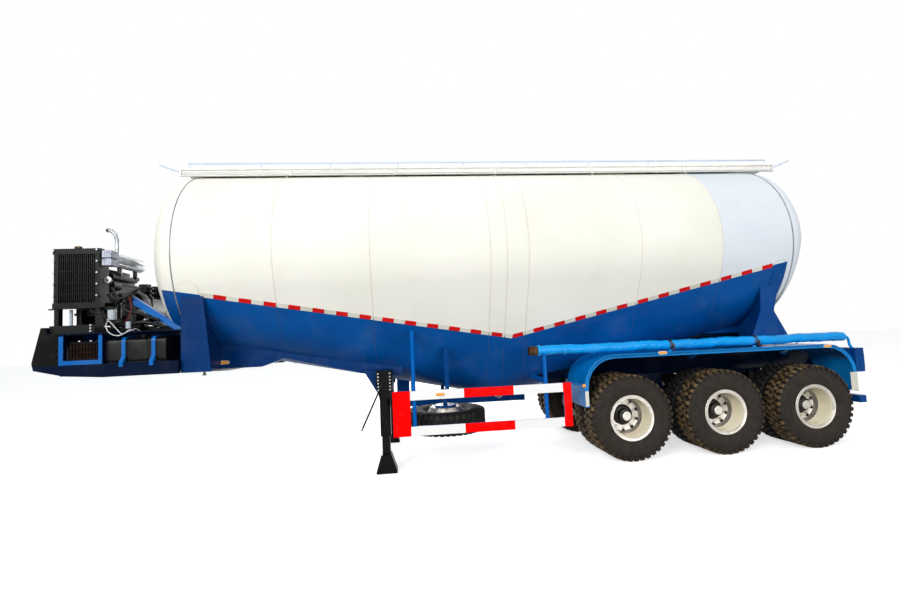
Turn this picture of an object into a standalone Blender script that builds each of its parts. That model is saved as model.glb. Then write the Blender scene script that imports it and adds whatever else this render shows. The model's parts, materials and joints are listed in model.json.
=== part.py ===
"""Three-axle bulk-powder tank semi-trailer, parked on its landing legs.

Metres, +Z up. +X points to the towing end and +Y to the left side.
Sizes along the trailer are measured from the front axle. The finished
model is slid along X so that its origin lies under the middle of its
length, on the ground.
"""

import math

import bmesh
import bpy
from mathutils import Matrix, Vector

# Overall limits
HALF_WIDTH = 1.25
DECK_NOSE = 7.27
REAR_END = -3.47

# Clearances, and the thickness of folded plate
SEAT = 0.0003
RUNNING_GAP = 0.008
LAP = 0.003
PLATE = 0.016
SHEET = 0.012

# Wheels and tyres
TYRE_RADIUS = 0.561
TYRE_WIDTH = 0.305
TREAD_WIDTH = 0.240
TYRE_BEAD_SPREAD = 0.180
TYRE_WALL_DROP = 0.150
RIM_FLANGE_RADIUS = 0.2985
RIM_SEAT_RADIUS = 0.2555
RIM_WALL = 0.012
RIM_WIDTH = 0.246
RIM_FLANGE_STEP = 0.015
RIM_CONE_LENGTH = 0.030
WHEEL_SEGMENTS = 16
TWIN_SPACING = 0.350
OUTER_TYRE_Y = HALF_WIDTH - 0.155
HUB_RADIUS = 0.135
HUB_LENGTH = 0.200
HUB_CAP_RADIUS = 0.055
HUB_CAP_HEIGHT = 0.050
HUB_CAP_RECESS = 0.165
PILOT_RADIUS = 0.141
DISC_RADIUS = 0.196
DISC_THICKNESS = 0.016

# Axles and leaf springs
AXLE_SPACING = 1.31
AXLE_COUNT = 3
AXLE_RADIUS = 0.075
DRUM_RADIUS = 0.210
DRUM_WIDTH = 0.030
DRUM_GAP = 0.020
SPRING_Y = 0.47
SPRING_WIDTH = 0.090
SPRING_LENGTH = 0.98
SPRING_LEAVES = 4
LEAF_THICKNESS = 0.020
SPRING_PAD = 0.080
BOLT_PLATE = 0.030

# Gooseneck: the two long beams, the kingpin plate and the bolster under the tank
FRAME_BOTTOM = 1.430
KINGPIN_X = 5.85
KINGPIN_RADIUS = 0.025
KINGPIN_WAIST = 0.018
KINGPIN_LENGTH = 0.084
COUPLER_FRONT = 6.30
COUPLER_REAR = 5.30
COUPLER_WIDTH = 1.06
COUPLER_PLATE = 0.030
BEAM_Y = 0.52
BEAM_WIDTH = 0.10
BEAM_NOSE_DEPTH = 0.20
BEAM_ARCH_X = 4.55
BEAM_ARCH_RISE = 0.10
CROSS_MEMBER = 0.10

# Tank: round ends, with a deeper section between them
TANK_RADIUS = 1.245
BELLY_CLEARANCE = 0.255
TANK_CENTRE_Z = FRAME_BOTTOM + BELLY_CLEARANCE + TANK_RADIUS
TANK_FRONT = 5.71
TANK_REAR = -2.49
TANK_LOW = 1.55
TANK_LOW_DROP = 0.735
TANK_TAPER = 0.75
HEAD_DEPTH = 0.48
HEAD_FLANGE = 0.05
HEAD_STEPS = 5
RING_STEPS = 11

# Walkway and rails on the crown
WALK_FRONT = 5.93
WALK_REAR = -2.95
WALK_HALF_WIDTH = 0.50
WALK_PLATE = 0.010
WALK_LIFT = 0.012
WALK_LIP = 0.095
WALK_RIB_SPACING = 1.5
WALK_RIB_THICKNESS = 0.012
RAIL_HEIGHT = 0.095
RAIL_RADIUS = 0.012
RAIL_INSET = 0.030
RAIL_END_INSET = 0.120
POST_SPACING = 0.96
POST_RADIUS = 0.008
GRIP_REACH = 0.28
GRIP_RISE = 0.12

# Manholes
MANHOLE_STATIONS = (3.60, -0.50)
NECK_RADIUS = 0.250
NECK_WALL = 0.012
NECK_HEIGHT = 0.085
LID_RADIUS = 0.275
LID_THICKNESS = 0.022
LID_CROWN = 0.012
LID_HINGE_OFFSET = 0.325
LUG_SPREAD = 0.036
LUG_THICKNESS = 0.024
HINGE_PIN_RADIUS = 0.009
MANHOLE_SEGMENTS = 16

# Bolster that carries the tank's front end
BOLSTER_FRONT = 5.64
BOLSTER_REAR = 5.38
BOLSTER_FOOT_REAR = 5.29
BOLSTER_TOP = TANK_CENTRE_Z - 0.57
BOLSTER_HALF_WIDTH = TANK_RADIUS - 0.115

# Engine deck
DECK_TOP = 1.960
DECK_FRONT = 7.12
DECK_HALF_WIDTH = 1.20
SILL_HEIGHT = 0.16
SILL_WIDTH = 0.050
NOSE_TIP_Z = 1.62
NOSE_RISE = 0.08
POST_WIDTH = 0.055
DECK_POSTS = (6.49, 6.92)
LOWER_RAIL = 0.06
ARM_WIDTH = 0.06
ARM_TOP = 1.535
DECK_ARMS = (5.86, 6.36, 6.60, 6.90)
BRACE_Y = 0.80
BRACE_WIDTH = 0.080
BRACE_TOP_X = 6.44
BRACE_FOOT_X = 5.78
BRACE_TOP_Z = 2.46

# Fuel tank on two straps, and the battery box ahead of it
FUEL_RADIUS = 0.165
FUEL_LENGTH = 0.69
FUEL_REAR = 5.80
FUEL_Y = DECK_HALF_WIDTH - 0.045 - FUEL_RADIUS
FUEL_Z = 1.735
FUEL_RIM = 0.018
STRAP = 0.006
STRAP_WIDTH = 0.045
STRAP_STATIONS = (5.92, 6.26)
BATTERY_DEPTH = 0.33
BATTERY_TOP = 1.86
BATTERY_LID = 0.030

# Radiator, fan, engine and compressor stand across the deck, listed from the left side inwards
ENGINE_X = 6.89
SHAFT_Z = 2.60
CRANK_Z = 2.36
RADIATOR_FACE = DECK_HALF_WIDTH - 0.155
RADIATOR_WIDTH = 0.52
RADIATOR_DEPTH = 0.085
RADIATOR_LOW = 2.27
RADIATOR_HIGH = 3.01
RADIATOR_TANK = 0.070
RADIATOR_COLUMN = 0.050
RADIATOR_FINS = 12
STAND_BEAM = 0.10
SHROUD_DEPTH = 0.100
SHROUD_WALL = 0.006
FAN_RADIUS = 0.230
FAN_HUB_RADIUS = 0.060
FAN_BLADES = 8
FAN_BLADE_WIDTH = 0.090
FAN_PITCH = 30
FAN_Y = RADIATOR_FACE - RADIATOR_DEPTH - 0.055
ENGINE_FRONT = FAN_Y - 0.145
ENGINE_LENGTH = 0.70
ENGINE_REAR = ENGINE_FRONT - ENGINE_LENGTH
ENGINE_SECTIONS = (  # half-width, low, high from the crankshaft, set back from each end
    (0.130, -0.28, -0.14, 0.08),
    (0.210, -0.16, -0.13, -0.01),
    (0.195, -0.15, 0.10, 0.00),
    (0.150, 0.09, 0.29, 0.00),
    (0.163, 0.265, 0.285, -0.01),
    (0.128, 0.28, 0.38, 0.02),
    (0.080, 0.37, 0.46, 0.05),
)
COVER_DEPTH = 0.035
PULLEY_OUT = 0.075
CRANK_PULLEY = 0.095
FAN_PULLEY = 0.065
ALTERNATOR_X = -0.21
ALTERNATOR_RISE = 0.22
ALTERNATOR_RADIUS = 0.065
MANIFOLD_X = 0.17
MANIFOLD_RISE = 0.35
MANIFOLD_RADIUS = 0.036
MANIFOLD_FLANGE = 0.050
BELL_RADIUS = 0.25
BELL_LENGTH = 0.18
SKID_HEIGHT = 0.080
SKID_WIDTH = 0.060
SKID_X = 0.20
SKID_Y = 0.95
CYLINDERS = 4
COMPRESSOR_LENGTH = 0.60
COMPRESSOR_BORES = 2

# Muffler with its stack, beside and above the engine
MUFFLER_X = 6.72
MUFFLER_Z = 2.935
MUFFLER_RADIUS = 0.090
MUFFLER_FAR = 0.02
STACK_Y = 0.50
STACK_RADIUS = 0.026
STACK_TOP = 3.37

# Landing legs
LEG_X = 3.21
LEG_Y = 0.85
LEG_OUTER = 0.135
LEG_INNER = 0.105
LEG_TOP = 1.32
LEG_HEAD_HALF = 0.105
LEG_HEAD_LOW = 0.95
LEG_OUTER_BOTTOM = 0.47
FOOT_LENGTH = 0.270
FOOT_WIDTH = 0.220
FOOT_PLATE = 0.022
FOOT_HEIGHT = 0.240
CRANK_RADIUS = 0.012
CRANK_ARM = 0.29
CRANK_DROP = 0.60
CRANK_GRIP = 0.11

# Side guards
GUARD_FRONT = 3.10
GUARD_REAR = 0.80
GUARD_THICKNESS = 0.030
GUARD_Y = HALF_WIDTH - 0.060
GUARD_TOP = 1.07
GUARD_BOTTOM = 0.51
GUARD_RAIL = 0.115
GUARD_FRONT_PLATE = 0.22
GUARD_REAR_PLATE = 0.10
GUARD_POSTS = (2.83, 1.12)
GUARD_POST_RADIUS = 0.026
GUARD_STRUT_TOP = 1.80

# Spare wheel
SPARE_X = 2.38
SPARE_Y = 0.42
SPARE_Z = 0.56
CARRIER_BEAM = 0.060
CARRIER_REACH = 0.46

# Bogie frame
RAIL_BOTTOM = 1.05
RAIL_FRONT = 1.05
RAIL_REAR = -3.38
RAIL_NOSE_DEPTH = 0.30
RAIL_TOP = 1.60
RAIL_REAR_TOP = 1.30
RAIL_WEB = 0.014
RAIL_FLANGE = 0.120
HANGER_WIDTH = 0.100
END_HANGER_REACH = 0.14
MID_HANGER_REACH = 0.22

# Fenders, and the hose carried on the left one
FENDER_FRONT = TYRE_RADIUS + 0.07
FENDER_TOP = 1.40
FENDER_FOOT = 0.74
FENDER_LIP = 0.050
FENDER_INNER_Y = 0.60
FENDER_CORNER = 0.42
FENDER_STAY = 0.022
HOSE_RADIUS = 0.062
HOSE_BORE = 0.046
HOSE_Y = HALF_WIDTH - 0.12
HOSE_LIFT = 0.030
HOSE_FRONT = 1.31
HOSE_REAR = -3.22
HOSE_CLAMPS = (-0.63, -1.86)
HOSE_COLLAR = 0.81
CLAMP_WIDTH = 0.05

# Rear saddles, hourglass plates between the bogie frame and the tank
SADDLE_X = -2.17
SADDLE_HALF_WIDTH = HOSE_Y - HOSE_RADIUS - PLATE
SADDLE_BOTTOM = 1.50

# Lamp panel, underrun bar and ladder
LAMP_DEPTH = 0.012
LAMP_RADIUS = 0.055
LAMP_BOX_DEPTH = 0.13
LAMP_BOX_INNER_Y = 0.74
LAMP_BOX_OUTER_Y = 1.18
LAMP_BOX_LOW = 0.99
LAMP_BOX_HIGH = 1.32
BUMPER_X = -3.36
BUMPER_Z = 0.62
BUMPER_SIZE = 0.100
BUMPER_HALF_WIDTH = 1.20
LADDER_X = -3.28
LADDER_Y = 0.20 - SPRING_Y
LADDER_HALF_WIDTH = 0.16
LADDER_RUNGS = 9
LADDER_PITCH = 0.30

# Discharge pipe
OUTLET_DROP = 0.16
OUTLET_RADIUS = 0.055
OUTLET_END_Y = 1.06
OUTLET_FLANGE_RADIUS = 0.085


def srgb(hex_code):
    """Linear colour from an sRGB hex code."""
    parts = [int(hex_code[i:i + 2], 16) / 255 for i in (1, 3, 5)]
    return [p / 12.92 if p <= 0.04045 else ((p + 0.055) / 1.055) ** 2.4 for p in parts]


def make_material(name, hex_code, roughness, metallic):
    material = bpy.data.materials.new(name)
    material.use_nodes = True
    shader = material.node_tree.nodes["Principled BSDF"]
    shader.inputs["Base Color"].default_value = (*srgb(hex_code), 1.0)
    shader.inputs["Roughness"].default_value = roughness
    shader.inputs["Metallic"].default_value = metallic
    material.diffuse_color = (*srgb(hex_code), 1.0)
    return material


# Shapes. Each returns a closed mesh object that faces out.

def to_object(bm, name="piece"):
    bmesh.ops.recalc_face_normals(bm, faces=bm.faces)
    mesh = bpy.data.meshes.new(name)
    bm.to_mesh(mesh)
    bm.free()
    piece = bpy.data.objects.new(name, mesh)
    bpy.context.scene.collection.objects.link(piece)
    return piece


def loft(rings, split=False):
    """Skin over rings of equally many points, with both ends capped.

    Twisted skins are split along one diagonal, so that a skin and its
    offset have matching facets. A ring may shrink to one point.
    """
    bm = bmesh.new()
    loops = [[bm.verts.new(point) for point in ring] for ring in rings]
    count = len(loops[0])
    for near, far in zip(loops, loops[1:]):
        for i in range(count):
            j = (i + 1) % count
            if split:
                bm.faces.new((near[i], near[j], far[j]))
                bm.faces.new((near[i], far[j], far[i]))
            else:
                bm.faces.new((near[i], near[j], far[j], far[i]))
    bm.faces.new(loops[0][::-1])
    bm.faces.new(loops[-1])
    if split:
        bmesh.ops.remove_doubles(bm, verts=bm.verts, dist=1e-6)
    return to_object(bm)


def block(x, y, z):
    """Box between two limits along each axis."""
    outline = [(x[0], z[0]), (x[1], z[0]), (x[1], z[1]), (x[0], z[1])]
    return profile_y(outline, y[0], y[1])


def profile_y(outline, low, high):
    """Outline in X and Z, extruded along Y."""
    return loft([[(x, y, z) for x, z in outline] for y in (low, high)])


def profile_x(outline, low, high):
    """Outline in Y and Z, extruded along X."""
    return loft([[(x, y, z) for y, z in outline] for x in (low, high)])


def circle(centre, direction, radius, sides, turn=0.0):
    """Points of a circle about a direction."""
    frame = Vector(direction).to_track_quat("Z", "Y").to_matrix()
    points = []
    for i in range(sides):
        angle = 2 * math.pi * i / sides + turn
        spoke = Vector((radius * math.cos(angle), radius * math.sin(angle), 0))
        points.append(Vector(centre) + frame @ spoke)
    return points


def rod(start, end, radius, sides=10, turn=0.0):
    """Cylinder between two points."""
    start, end = Vector(start), Vector(end)
    return loft([circle(centre, end - start, radius, sides, turn) for centre in (start, end)])


def tube_path(points, radius, sides=10):
    """Round bar along a path, mitred at its corners."""
    points = [Vector(p) for p in points]
    rings = []
    frame = (points[1] - points[0]).to_track_quat("Z", "Y").to_matrix()
    spokes = [frame @ Vector((radius * math.cos(a), radius * math.sin(a), 0))
              for a in (2 * math.pi * i / sides for i in range(sides))]
    for i, point in enumerate(points):
        before = (point - points[i - 1]).normalized() if i else None
        after = (points[i + 1] - point).normalized() if i < len(points) - 1 else None
        if before and after:
            normal = (before + after).normalized()
        else:
            normal = after or before
        if before:
            spokes = [s - before * s.dot(normal) / before.dot(normal) for s in spokes]
        rings.append([point + s for s in spokes])
        if before and after:
            turn = before.rotation_difference(after)
            spokes = [turn @ (s - before * s.dot(before)) for s in spokes]
    return loft(rings)


def turned(profile, centre, direction, sides):
    """Solid of revolution. The profile lists (radius, height) and closes on itself."""
    bm = bmesh.new()
    frame = Vector(direction).to_track_quat("Z", "Y").to_matrix()
    loops = []
    for i in range(sides):
        angle = 2 * math.pi * i / sides
        loop = []
        for radius, height in profile:
            local = Vector((radius * math.cos(angle), radius * math.sin(angle), height))
            loop.append(bm.verts.new(Vector(centre) + frame @ local))
        loops.append(loop)
    count = len(profile)
    for i in range(sides):
        near, far = loops[i], loops[(i + 1) % sides]
        for j in range(count):
            k = (j + 1) % count
            if profile[j][0] > 0 or profile[k][0] > 0:
                bm.faces.new((near[j], near[k], far[k], far[j]))
    bmesh.ops.remove_doubles(bm, verts=bm.verts, dist=1e-6)
    return to_object(bm)


def both(side, inner, outer):
    """Limits along Y of a piece on one side of the trailer, low one first."""
    return sorted((side * inner, side * outer))


def boolean(piece, others, operation):
    """Join or cut with the EXACT solver and keep the result as a mesh."""
    helpers = bpy.data.collections.new("helpers")
    for other in others:
        helpers.objects.link(other)
    modifier = piece.modifiers.new("combine", "BOOLEAN")
    modifier.operation = operation
    modifier.solver = "EXACT"
    modifier.operand_type = "COLLECTION"
    modifier.collection = helpers
    graph = bpy.context.evaluated_depsgraph_get()
    mesh = bpy.data.meshes.new_from_object(piece.evaluated_get(graph))
    piece.modifiers.clear()
    piece.data = mesh
    for other in others:
        bpy.data.objects.remove(other)
    bpy.data.collections.remove(helpers)
    return piece


def union(pieces):
    return boolean(pieces[0], pieces[1:], "UNION") if len(pieces) > 1 else pieces[0]


def cut(piece, cutters):
    for cutter in cutters:
        boolean(piece, [cutter], "DIFFERENCE")
    return piece


def publish(name, piece, material, origin=(0, 0, 0), smooth=35):
    """Name the finished piece, give it its material and its origin."""
    piece.name = name
    piece.data.name = name
    piece.data.materials.clear()
    piece.data.materials.append(material)
    piece.data.transform(Matrix.Translation(-Vector(origin)))
    piece.location = origin
    piece.data.shade_smooth()
    piece.data.set_sharp_from_angle(angle=math.radians(smooth))
    return piece


# Tank

def depth_at(x):
    """Depth of the tank's bottom below its centre line."""
    end = TANK_FRONT if x > TANK_LOW else TANK_REAR
    share = (end - x) / (end - TANK_LOW)
    return TANK_RADIUS + TANK_LOW_DROP * max(share, 0.0)


def belly(x):
    """Height of the tank's bottom."""
    return TANK_CENTRE_Z - depth_at(x)


def crown():
    return TANK_CENTRE_Z + TANK_RADIUS


def half_section(x, grow=0.0):
    """Half-width and height pairs down the tank's side: a wide arc above and a smaller one below."""
    depth = depth_at(x)
    low_radius = TANK_RADIUS - TANK_TAPER * (depth - TANK_RADIUS)
    drop = depth - low_radius
    tangent = -math.asin(TANK_TAPER / (1 + TANK_TAPER))
    half = []
    for i in range(RING_STEPS + 1):
        angle = math.pi / 2 - (math.pi / 2 - tangent) * i / RING_STEPS
        half.append(((TANK_RADIUS + grow) * math.cos(angle),
                     TANK_CENTRE_Z + (TANK_RADIUS + grow) * math.sin(angle)))
    for i in range(RING_STEPS + 1):
        angle = tangent - (math.pi / 2 + tangent) * i / RING_STEPS
        half.append(((low_radius + grow) * math.cos(angle),
                     TANK_CENTRE_Z - drop + (low_radius + grow) * math.sin(angle)))
    return half


def tank_ring(x, grow=0.0, share=1.0):
    """Closed section of the tank. A share below 1 draws it in towards the tank's axis."""
    half = half_section(x, grow)
    outline = half + [(-y, z) for y, z in half[-2:0:-1]]
    return [(x, y * share, TANK_CENTRE_Z + (z - TANK_CENTRE_Z) * share) for y, z in outline]


def head_rings(end, forward, grow=0.0):
    """Sections of a dished head, from the barrel's end to its pole."""
    rings = []
    for i in range(HEAD_STEPS + 1):
        angle = math.pi / 2 * i / HEAD_STEPS
        reach = HEAD_FLANGE + (HEAD_DEPTH - HEAD_FLANGE + grow) * math.sin(angle)
        share = math.cos(angle) if i < HEAD_STEPS else 0.0
        ring = tank_ring(end, grow, share)
        rings.append([(end + forward * reach, y, z) for x, y, z in ring])
    return rings


def tank_side(x, z):
    """Half-width of the tank at a height."""
    half = half_section(x)
    for (y0, z0), (y1, z1) in zip(half, half[1:]):
        if z1 <= z <= z0 and z0 > z1:
            return y0 + (y1 - y0) * (z0 - z) / (z0 - z1)
    return 0.0


def tank_envelope():
    """Cutter that leaves the seating gap round the whole tank."""
    front = head_rings(TANK_FRONT, 1, SEAT)[::-1] + [tank_ring(TANK_FRONT, SEAT)]
    rear = [tank_ring(TANK_REAR, SEAT)] + head_rings(TANK_REAR, -1, SEAT)
    return loft(front + [tank_ring(TANK_LOW, SEAT)] + rear, split=True)


def build_tank(white):
    half_gap = SEAT / 2
    sections = (  # name, rings from the front end to the rear one
        ("tank_front_head", head_rings(TANK_FRONT, 1)[::-1] + [tank_ring(TANK_FRONT + half_gap)]),
        ("tank_front_barrel", [tank_ring(TANK_FRONT - half_gap), tank_ring(TANK_LOW + half_gap)]),
        ("tank_rear_barrel", [tank_ring(TANK_LOW - half_gap), tank_ring(TANK_REAR + half_gap)]),
        ("tank_rear_head", [tank_ring(TANK_REAR - half_gap)] + head_rings(TANK_REAR, -1)),
    )
    for name, rings in sections:
        publish(name, loft(rings, split=True), white)


# Walkway, rails and manholes

def walk_top():
    return crown() + WALK_LIFT + WALK_PLATE


def spread(low, high, spacing):
    """Stations from one end to the other, about a spacing apart."""
    count = int((high - low) / spacing) + 1
    return [low + i * (high - low) / (count - 1) for i in range(count)]


def build_walkway(white):
    top = walk_top()
    plate_low = top - WALK_PLATE
    pieces = [block((WALK_REAR, WALK_FRONT), (-WALK_HALF_WIDTH, WALK_HALF_WIDTH), (plate_low, top))]
    first = math.ceil(WALK_REAR / WALK_RIB_SPACING)
    last = math.floor(WALK_FRONT / WALK_RIB_SPACING)
    shoulder = TANK_CENTRE_Z + math.sqrt(TANK_RADIUS ** 2 - WALK_HALF_WIDTH ** 2)
    for number in range(first, last + 1):
        x = number * WALK_RIB_SPACING
        pieces.append(block((x - WALK_RIB_THICKNESS / 2, x + WALK_RIB_THICKNESS / 2),
                            (-WALK_HALF_WIDTH + LAP, WALK_HALF_WIDTH - LAP),
                            (shoulder - WALK_LIP / 3, top - LAP)))
    rail_z = top + RAIL_HEIGHT
    front, rear = WALK_FRONT - RAIL_END_INSET, WALK_REAR + RAIL_END_INSET
    for side in (-1, 1):
        lip_y = both(side, WALK_HALF_WIDTH - WALK_PLATE, WALK_HALF_WIDTH)
        pieces.append(block((WALK_REAR, WALK_FRONT), lip_y, (top - WALK_LIP, top - LAP)))
        y = side * (WALK_HALF_WIDTH - RAIL_INSET)
        for x in spread(rear, front, POST_SPACING):
            pieces.append(rod((x, y, plate_low), (x, y, rail_z), POST_RADIUS, 4))
        pieces.append(rod((rear - RAIL_INSET, y, rail_z), (front + RAIL_INSET, y, rail_z), RAIL_RADIUS, 6))
        lip_middle = side * (WALK_HALF_WIDTH - WALK_PLATE / 2)
        for end, forward in ((WALK_FRONT, 1), (WALK_REAR, -1)):
            root = (end - forward * RAIL_INSET, lip_middle, top - WALK_LIP / 2)
            tip = (end + forward * GRIP_REACH, lip_middle, top - WALK_LIP / 2 + GRIP_RISE)
            pieces.append(rod(root, tip, RAIL_RADIUS, 6))
    holes = [rod((x, 0, crown() - NECK_HEIGHT), (x, 0, top + LAP), NECK_RADIUS + RUNNING_GAP,
                 MANHOLE_SEGMENTS)
             for x in MANHOLE_STATIONS]
    publish("walkway", cut(union(pieces), holes + [tank_envelope()]), white)


def build_manholes(white, steel):
    top = crown() + NECK_HEIGHT
    shoulder = TANK_CENTRE_Z + math.sqrt(TANK_RADIUS ** 2 - NECK_RADIUS ** 2) - crown()
    inner = NECK_RADIUS - NECK_WALL
    ring = [(inner, shoulder - NECK_WALL), (NECK_RADIUS, shoulder - NECK_WALL),
            (NECK_RADIUS, NECK_HEIGHT), (inner, NECK_HEIGHT)]
    pin_z = top + LID_THICKNESS / 2
    pin_reach = LUG_SPREAD + LUG_THICKNESS + HINGE_PIN_RADIUS
    bore = (HINGE_PIN_RADIUS + SEAT) / math.cos(math.pi / 12)
    for number, x in enumerate(MANHOLE_STATIONS, 1):
        pin_x = x - LID_HINGE_OFFSET
        root, lug_end = x - NECK_RADIUS + NECK_WALL, pin_x - 2 * HINGE_PIN_RADIUS
        clear = x - LID_RADIUS - RUNNING_GAP
        lug = [(lug_end, top - NECK_HEIGHT / 2), (root, top - NECK_HEIGHT / 2), (root, top - LAP),
               (clear, top - LAP),
               (clear, pin_z + 2 * HINGE_PIN_RADIUS), (lug_end, pin_z + 2 * HINGE_PIN_RADIUS)]
        neck = [turned(ring, (x, 0, crown()), (0, 0, 1), MANHOLE_SEGMENTS)]
        neck += [profile_y(lug, *both(side, LUG_SPREAD, LUG_SPREAD + LUG_THICKNESS)) for side in (-1, 1)]
        pin_hole = rod((pin_x, -2 * pin_reach, pin_z), (pin_x, 2 * pin_reach, pin_z), bore, 12,
                       math.pi / 12)
        publish(f"manhole_neck_{number}", cut(union(neck), [tank_envelope(), pin_hole]), white)
        grip_x, grip_half, grip_low = x + LID_RADIUS / 2, LUG_SPREAD * 2, top + LID_THICKNESS
        lid = union([
            turned([(0, SEAT), (LID_RADIUS, SEAT), (LID_RADIUS, LID_THICKNESS),
                    (0, LID_THICKNESS + LID_CROWN)],
                   (x, 0, top), (0, 0, 1), MANHOLE_SEGMENTS),
            block((pin_x - 2 * HINGE_PIN_RADIUS, x - LID_RADIUS + LUG_THICKNESS),
                  (RUNNING_GAP - LUG_SPREAD, LUG_SPREAD - RUNNING_GAP), (top + LAP, top + LID_THICKNESS)),
            rod((pin_x, -pin_reach, pin_z), (pin_x, pin_reach, pin_z), HINGE_PIN_RADIUS, 12),
            tube_path([(grip_x, -grip_half, grip_low), (grip_x, -grip_half, grip_low + RAIL_INSET),
                       (grip_x, grip_half, grip_low + RAIL_INSET), (grip_x, grip_half, grip_low)],
                       POST_RADIUS, 6),
        ])
        publish(f"manhole_lid_{number}", lid, steel, origin=(pin_x, 0, pin_z))


# Gooseneck: beams, bolster and coupler

def build_front_frame(blue):
    beam_top = DECK_TOP - SHEET - SEAT
    rear_x = LEG_X - 0.25
    foot = belly(rear_x) + 0.02
    nose_x = KINGPIN_X + 0.69
    outline = [(DECK_FRONT, beam_top), (DECK_FRONT, beam_top - BEAM_NOSE_DEPTH),
               (nose_x, FRAME_BOTTOM), (BOLSTER_FOOT_REAR - 0.42, FRAME_BOTTOM),
               (BEAM_ARCH_X, FRAME_BOTTOM + BEAM_ARCH_RISE), (LEG_X + 0.10, foot),
               (rear_x, foot), (rear_x, foot + 0.5), (BEAM_ARCH_X - 0.25, beam_top - 0.05),
               (BOLSTER_REAR, beam_top)]
    pieces = [profile_y(outline, *both(side, BEAM_Y - BEAM_WIDTH / 2, BEAM_Y + BEAM_WIDTH / 2))
              for side in (-1, 1)]
    for x in (BOLSTER_REAR, BOLSTER_FRONT - PLATE):
        pieces.append(block((x, x + PLATE), (-BOLSTER_HALF_WIDTH + LAP, BOLSTER_HALF_WIDTH - LAP),
                            (FRAME_BOTTOM + LAP, BOLSTER_TOP)))
    cheek = [(BOLSTER_FOOT_REAR, FRAME_BOTTOM), (BOLSTER_FRONT, FRAME_BOTTOM), (BOLSTER_FRONT, BOLSTER_TOP),
             (BOLSTER_REAR, BOLSTER_TOP)]
    bracket_y = BEAM_Y - BEAM_WIDTH / 2 + LAP, LEG_Y - LEG_OUTER / 2 - SEAT
    gusset = [(LEG_X - LEG_HEAD_HALF, LEG_HEAD_LOW + 0.07), (LEG_X + LEG_HEAD_HALF, LEG_HEAD_LOW + 0.07),
              (LEG_X + 0.28, LEG_TOP), (LEG_X - LEG_HEAD_HALF, LEG_TOP)]
    for side in (-1, 1):
        pieces.append(profile_y(cheek, *both(side, BOLSTER_HALF_WIDTH - PLATE, BOLSTER_HALF_WIDTH)))
        pieces.append(profile_y(gusset, *both(side, *bracket_y)))
    for x in (LEG_X - CROSS_MEMBER / 2, nose_x):
        pieces.append(block((x, x + CROSS_MEMBER), (-BEAM_Y, BEAM_Y),
                            (FRAME_BOTTOM + LAP, FRAME_BOTTOM + CROSS_MEMBER)))
    publish("front_frame", cut(union(pieces), [tank_envelope()]), blue)


def build_coupler(steel):
    low = FRAME_BOTTOM - COUPLER_PLATE
    half = COUPLER_WIDTH / 2
    plate = block((COUPLER_REAR, COUPLER_FRONT), (-half, half), (low, FRAME_BOTTOM - SEAT))
    pin = turned([(0, LAP), (KINGPIN_RADIUS, LAP), (KINGPIN_RADIUS, -0.030), (KINGPIN_WAIST, -0.034),
                  (KINGPIN_WAIST, -0.062), (KINGPIN_RADIUS, -0.066), (KINGPIN_RADIUS, -KINGPIN_LENGTH),
                  (0, -KINGPIN_LENGTH)], (KINGPIN_X, 0, low), (0, 0, 1), 12)
    publish("coupler_plate", union([plate, pin]), steel)


# Engine deck and what hangs below its edge

def build_deck(blue):
    top = DECK_TOP
    rear = BOLSTER_FRONT + SEAT
    low = FRAME_BOTTOM
    pieces = [block((rear, DECK_FRONT), (-DECK_HALF_WIDTH, DECK_HALF_WIDTH), (top - SHEET, top))]
    sill = [(rear, low + LAP), (DECK_POSTS[0], low), (DECK_POSTS[1], low + 0.03),
            (DECK_NOSE - 0.02, NOSE_TIP_Z - 0.08),
            (DECK_NOSE, NOSE_TIP_Z), (DECK_POSTS[1], low + SILL_HEIGHT), (rear, low + SILL_HEIGHT)]
    nose = [(DECK_FRONT, top - SHEET - LAP), (DECK_FRONT, top + NOSE_RISE),
            (DECK_FRONT + SILL_WIDTH, top + NOSE_RISE),
            (DECK_NOSE - LAP, NOSE_TIP_Z), (DECK_NOSE - SILL_WIDTH, NOSE_TIP_Z - SHEET)]
    pieces.append(profile_y(nose, LAP - DECK_HALF_WIDTH, DECK_HALF_WIDTH - LAP))
    brace = [(BRACE_TOP_X + 0.04, BRACE_TOP_Z - 0.06), (BRACE_TOP_X - 0.02, BRACE_TOP_Z),
             (BRACE_FOOT_X - 0.04, top + 0.02), (BRACE_FOOT_X - 0.04, top - LAP),
             (BRACE_FOOT_X + 0.05, top - LAP)]
    for side in (-1, 1):
        edge = both(side, DECK_HALF_WIDTH - SILL_WIDTH, DECK_HALF_WIDTH)
        pieces.append(profile_y(sill, *edge))
        pieces.append(block((DECK_POSTS[0], DECK_POSTS[1] + POST_WIDTH), edge,
                            (low + SILL_HEIGHT - LAP, low + SILL_HEIGHT + LOWER_RAIL)))
        for x in DECK_POSTS:
            pieces.append(block((x, x + POST_WIDTH), edge, (low + LOWER_RAIL, top - LAP)))
        for x in DECK_ARMS:
            arm_y = both(side, BEAM_Y + BEAM_WIDTH / 2 + SEAT, DECK_HALF_WIDTH - LAP)
            pieces.append(block((x, x + ARM_WIDTH), arm_y, (low + LOWER_RAIL / 2, ARM_TOP)))
        brace_y = both(side, BRACE_Y - BRACE_WIDTH / 2, BRACE_Y + BRACE_WIDTH / 2)
        pieces.append(profile_y(brace, *brace_y))
        pieces.append(block((BRACE_TOP_X - BRACE_WIDTH, BRACE_TOP_X), brace_y,
                            (top - LAP, BRACE_TOP_Z - 0.04)))
    publish("engine_deck", cut(union(pieces), [tank_envelope()]), blue)


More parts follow.
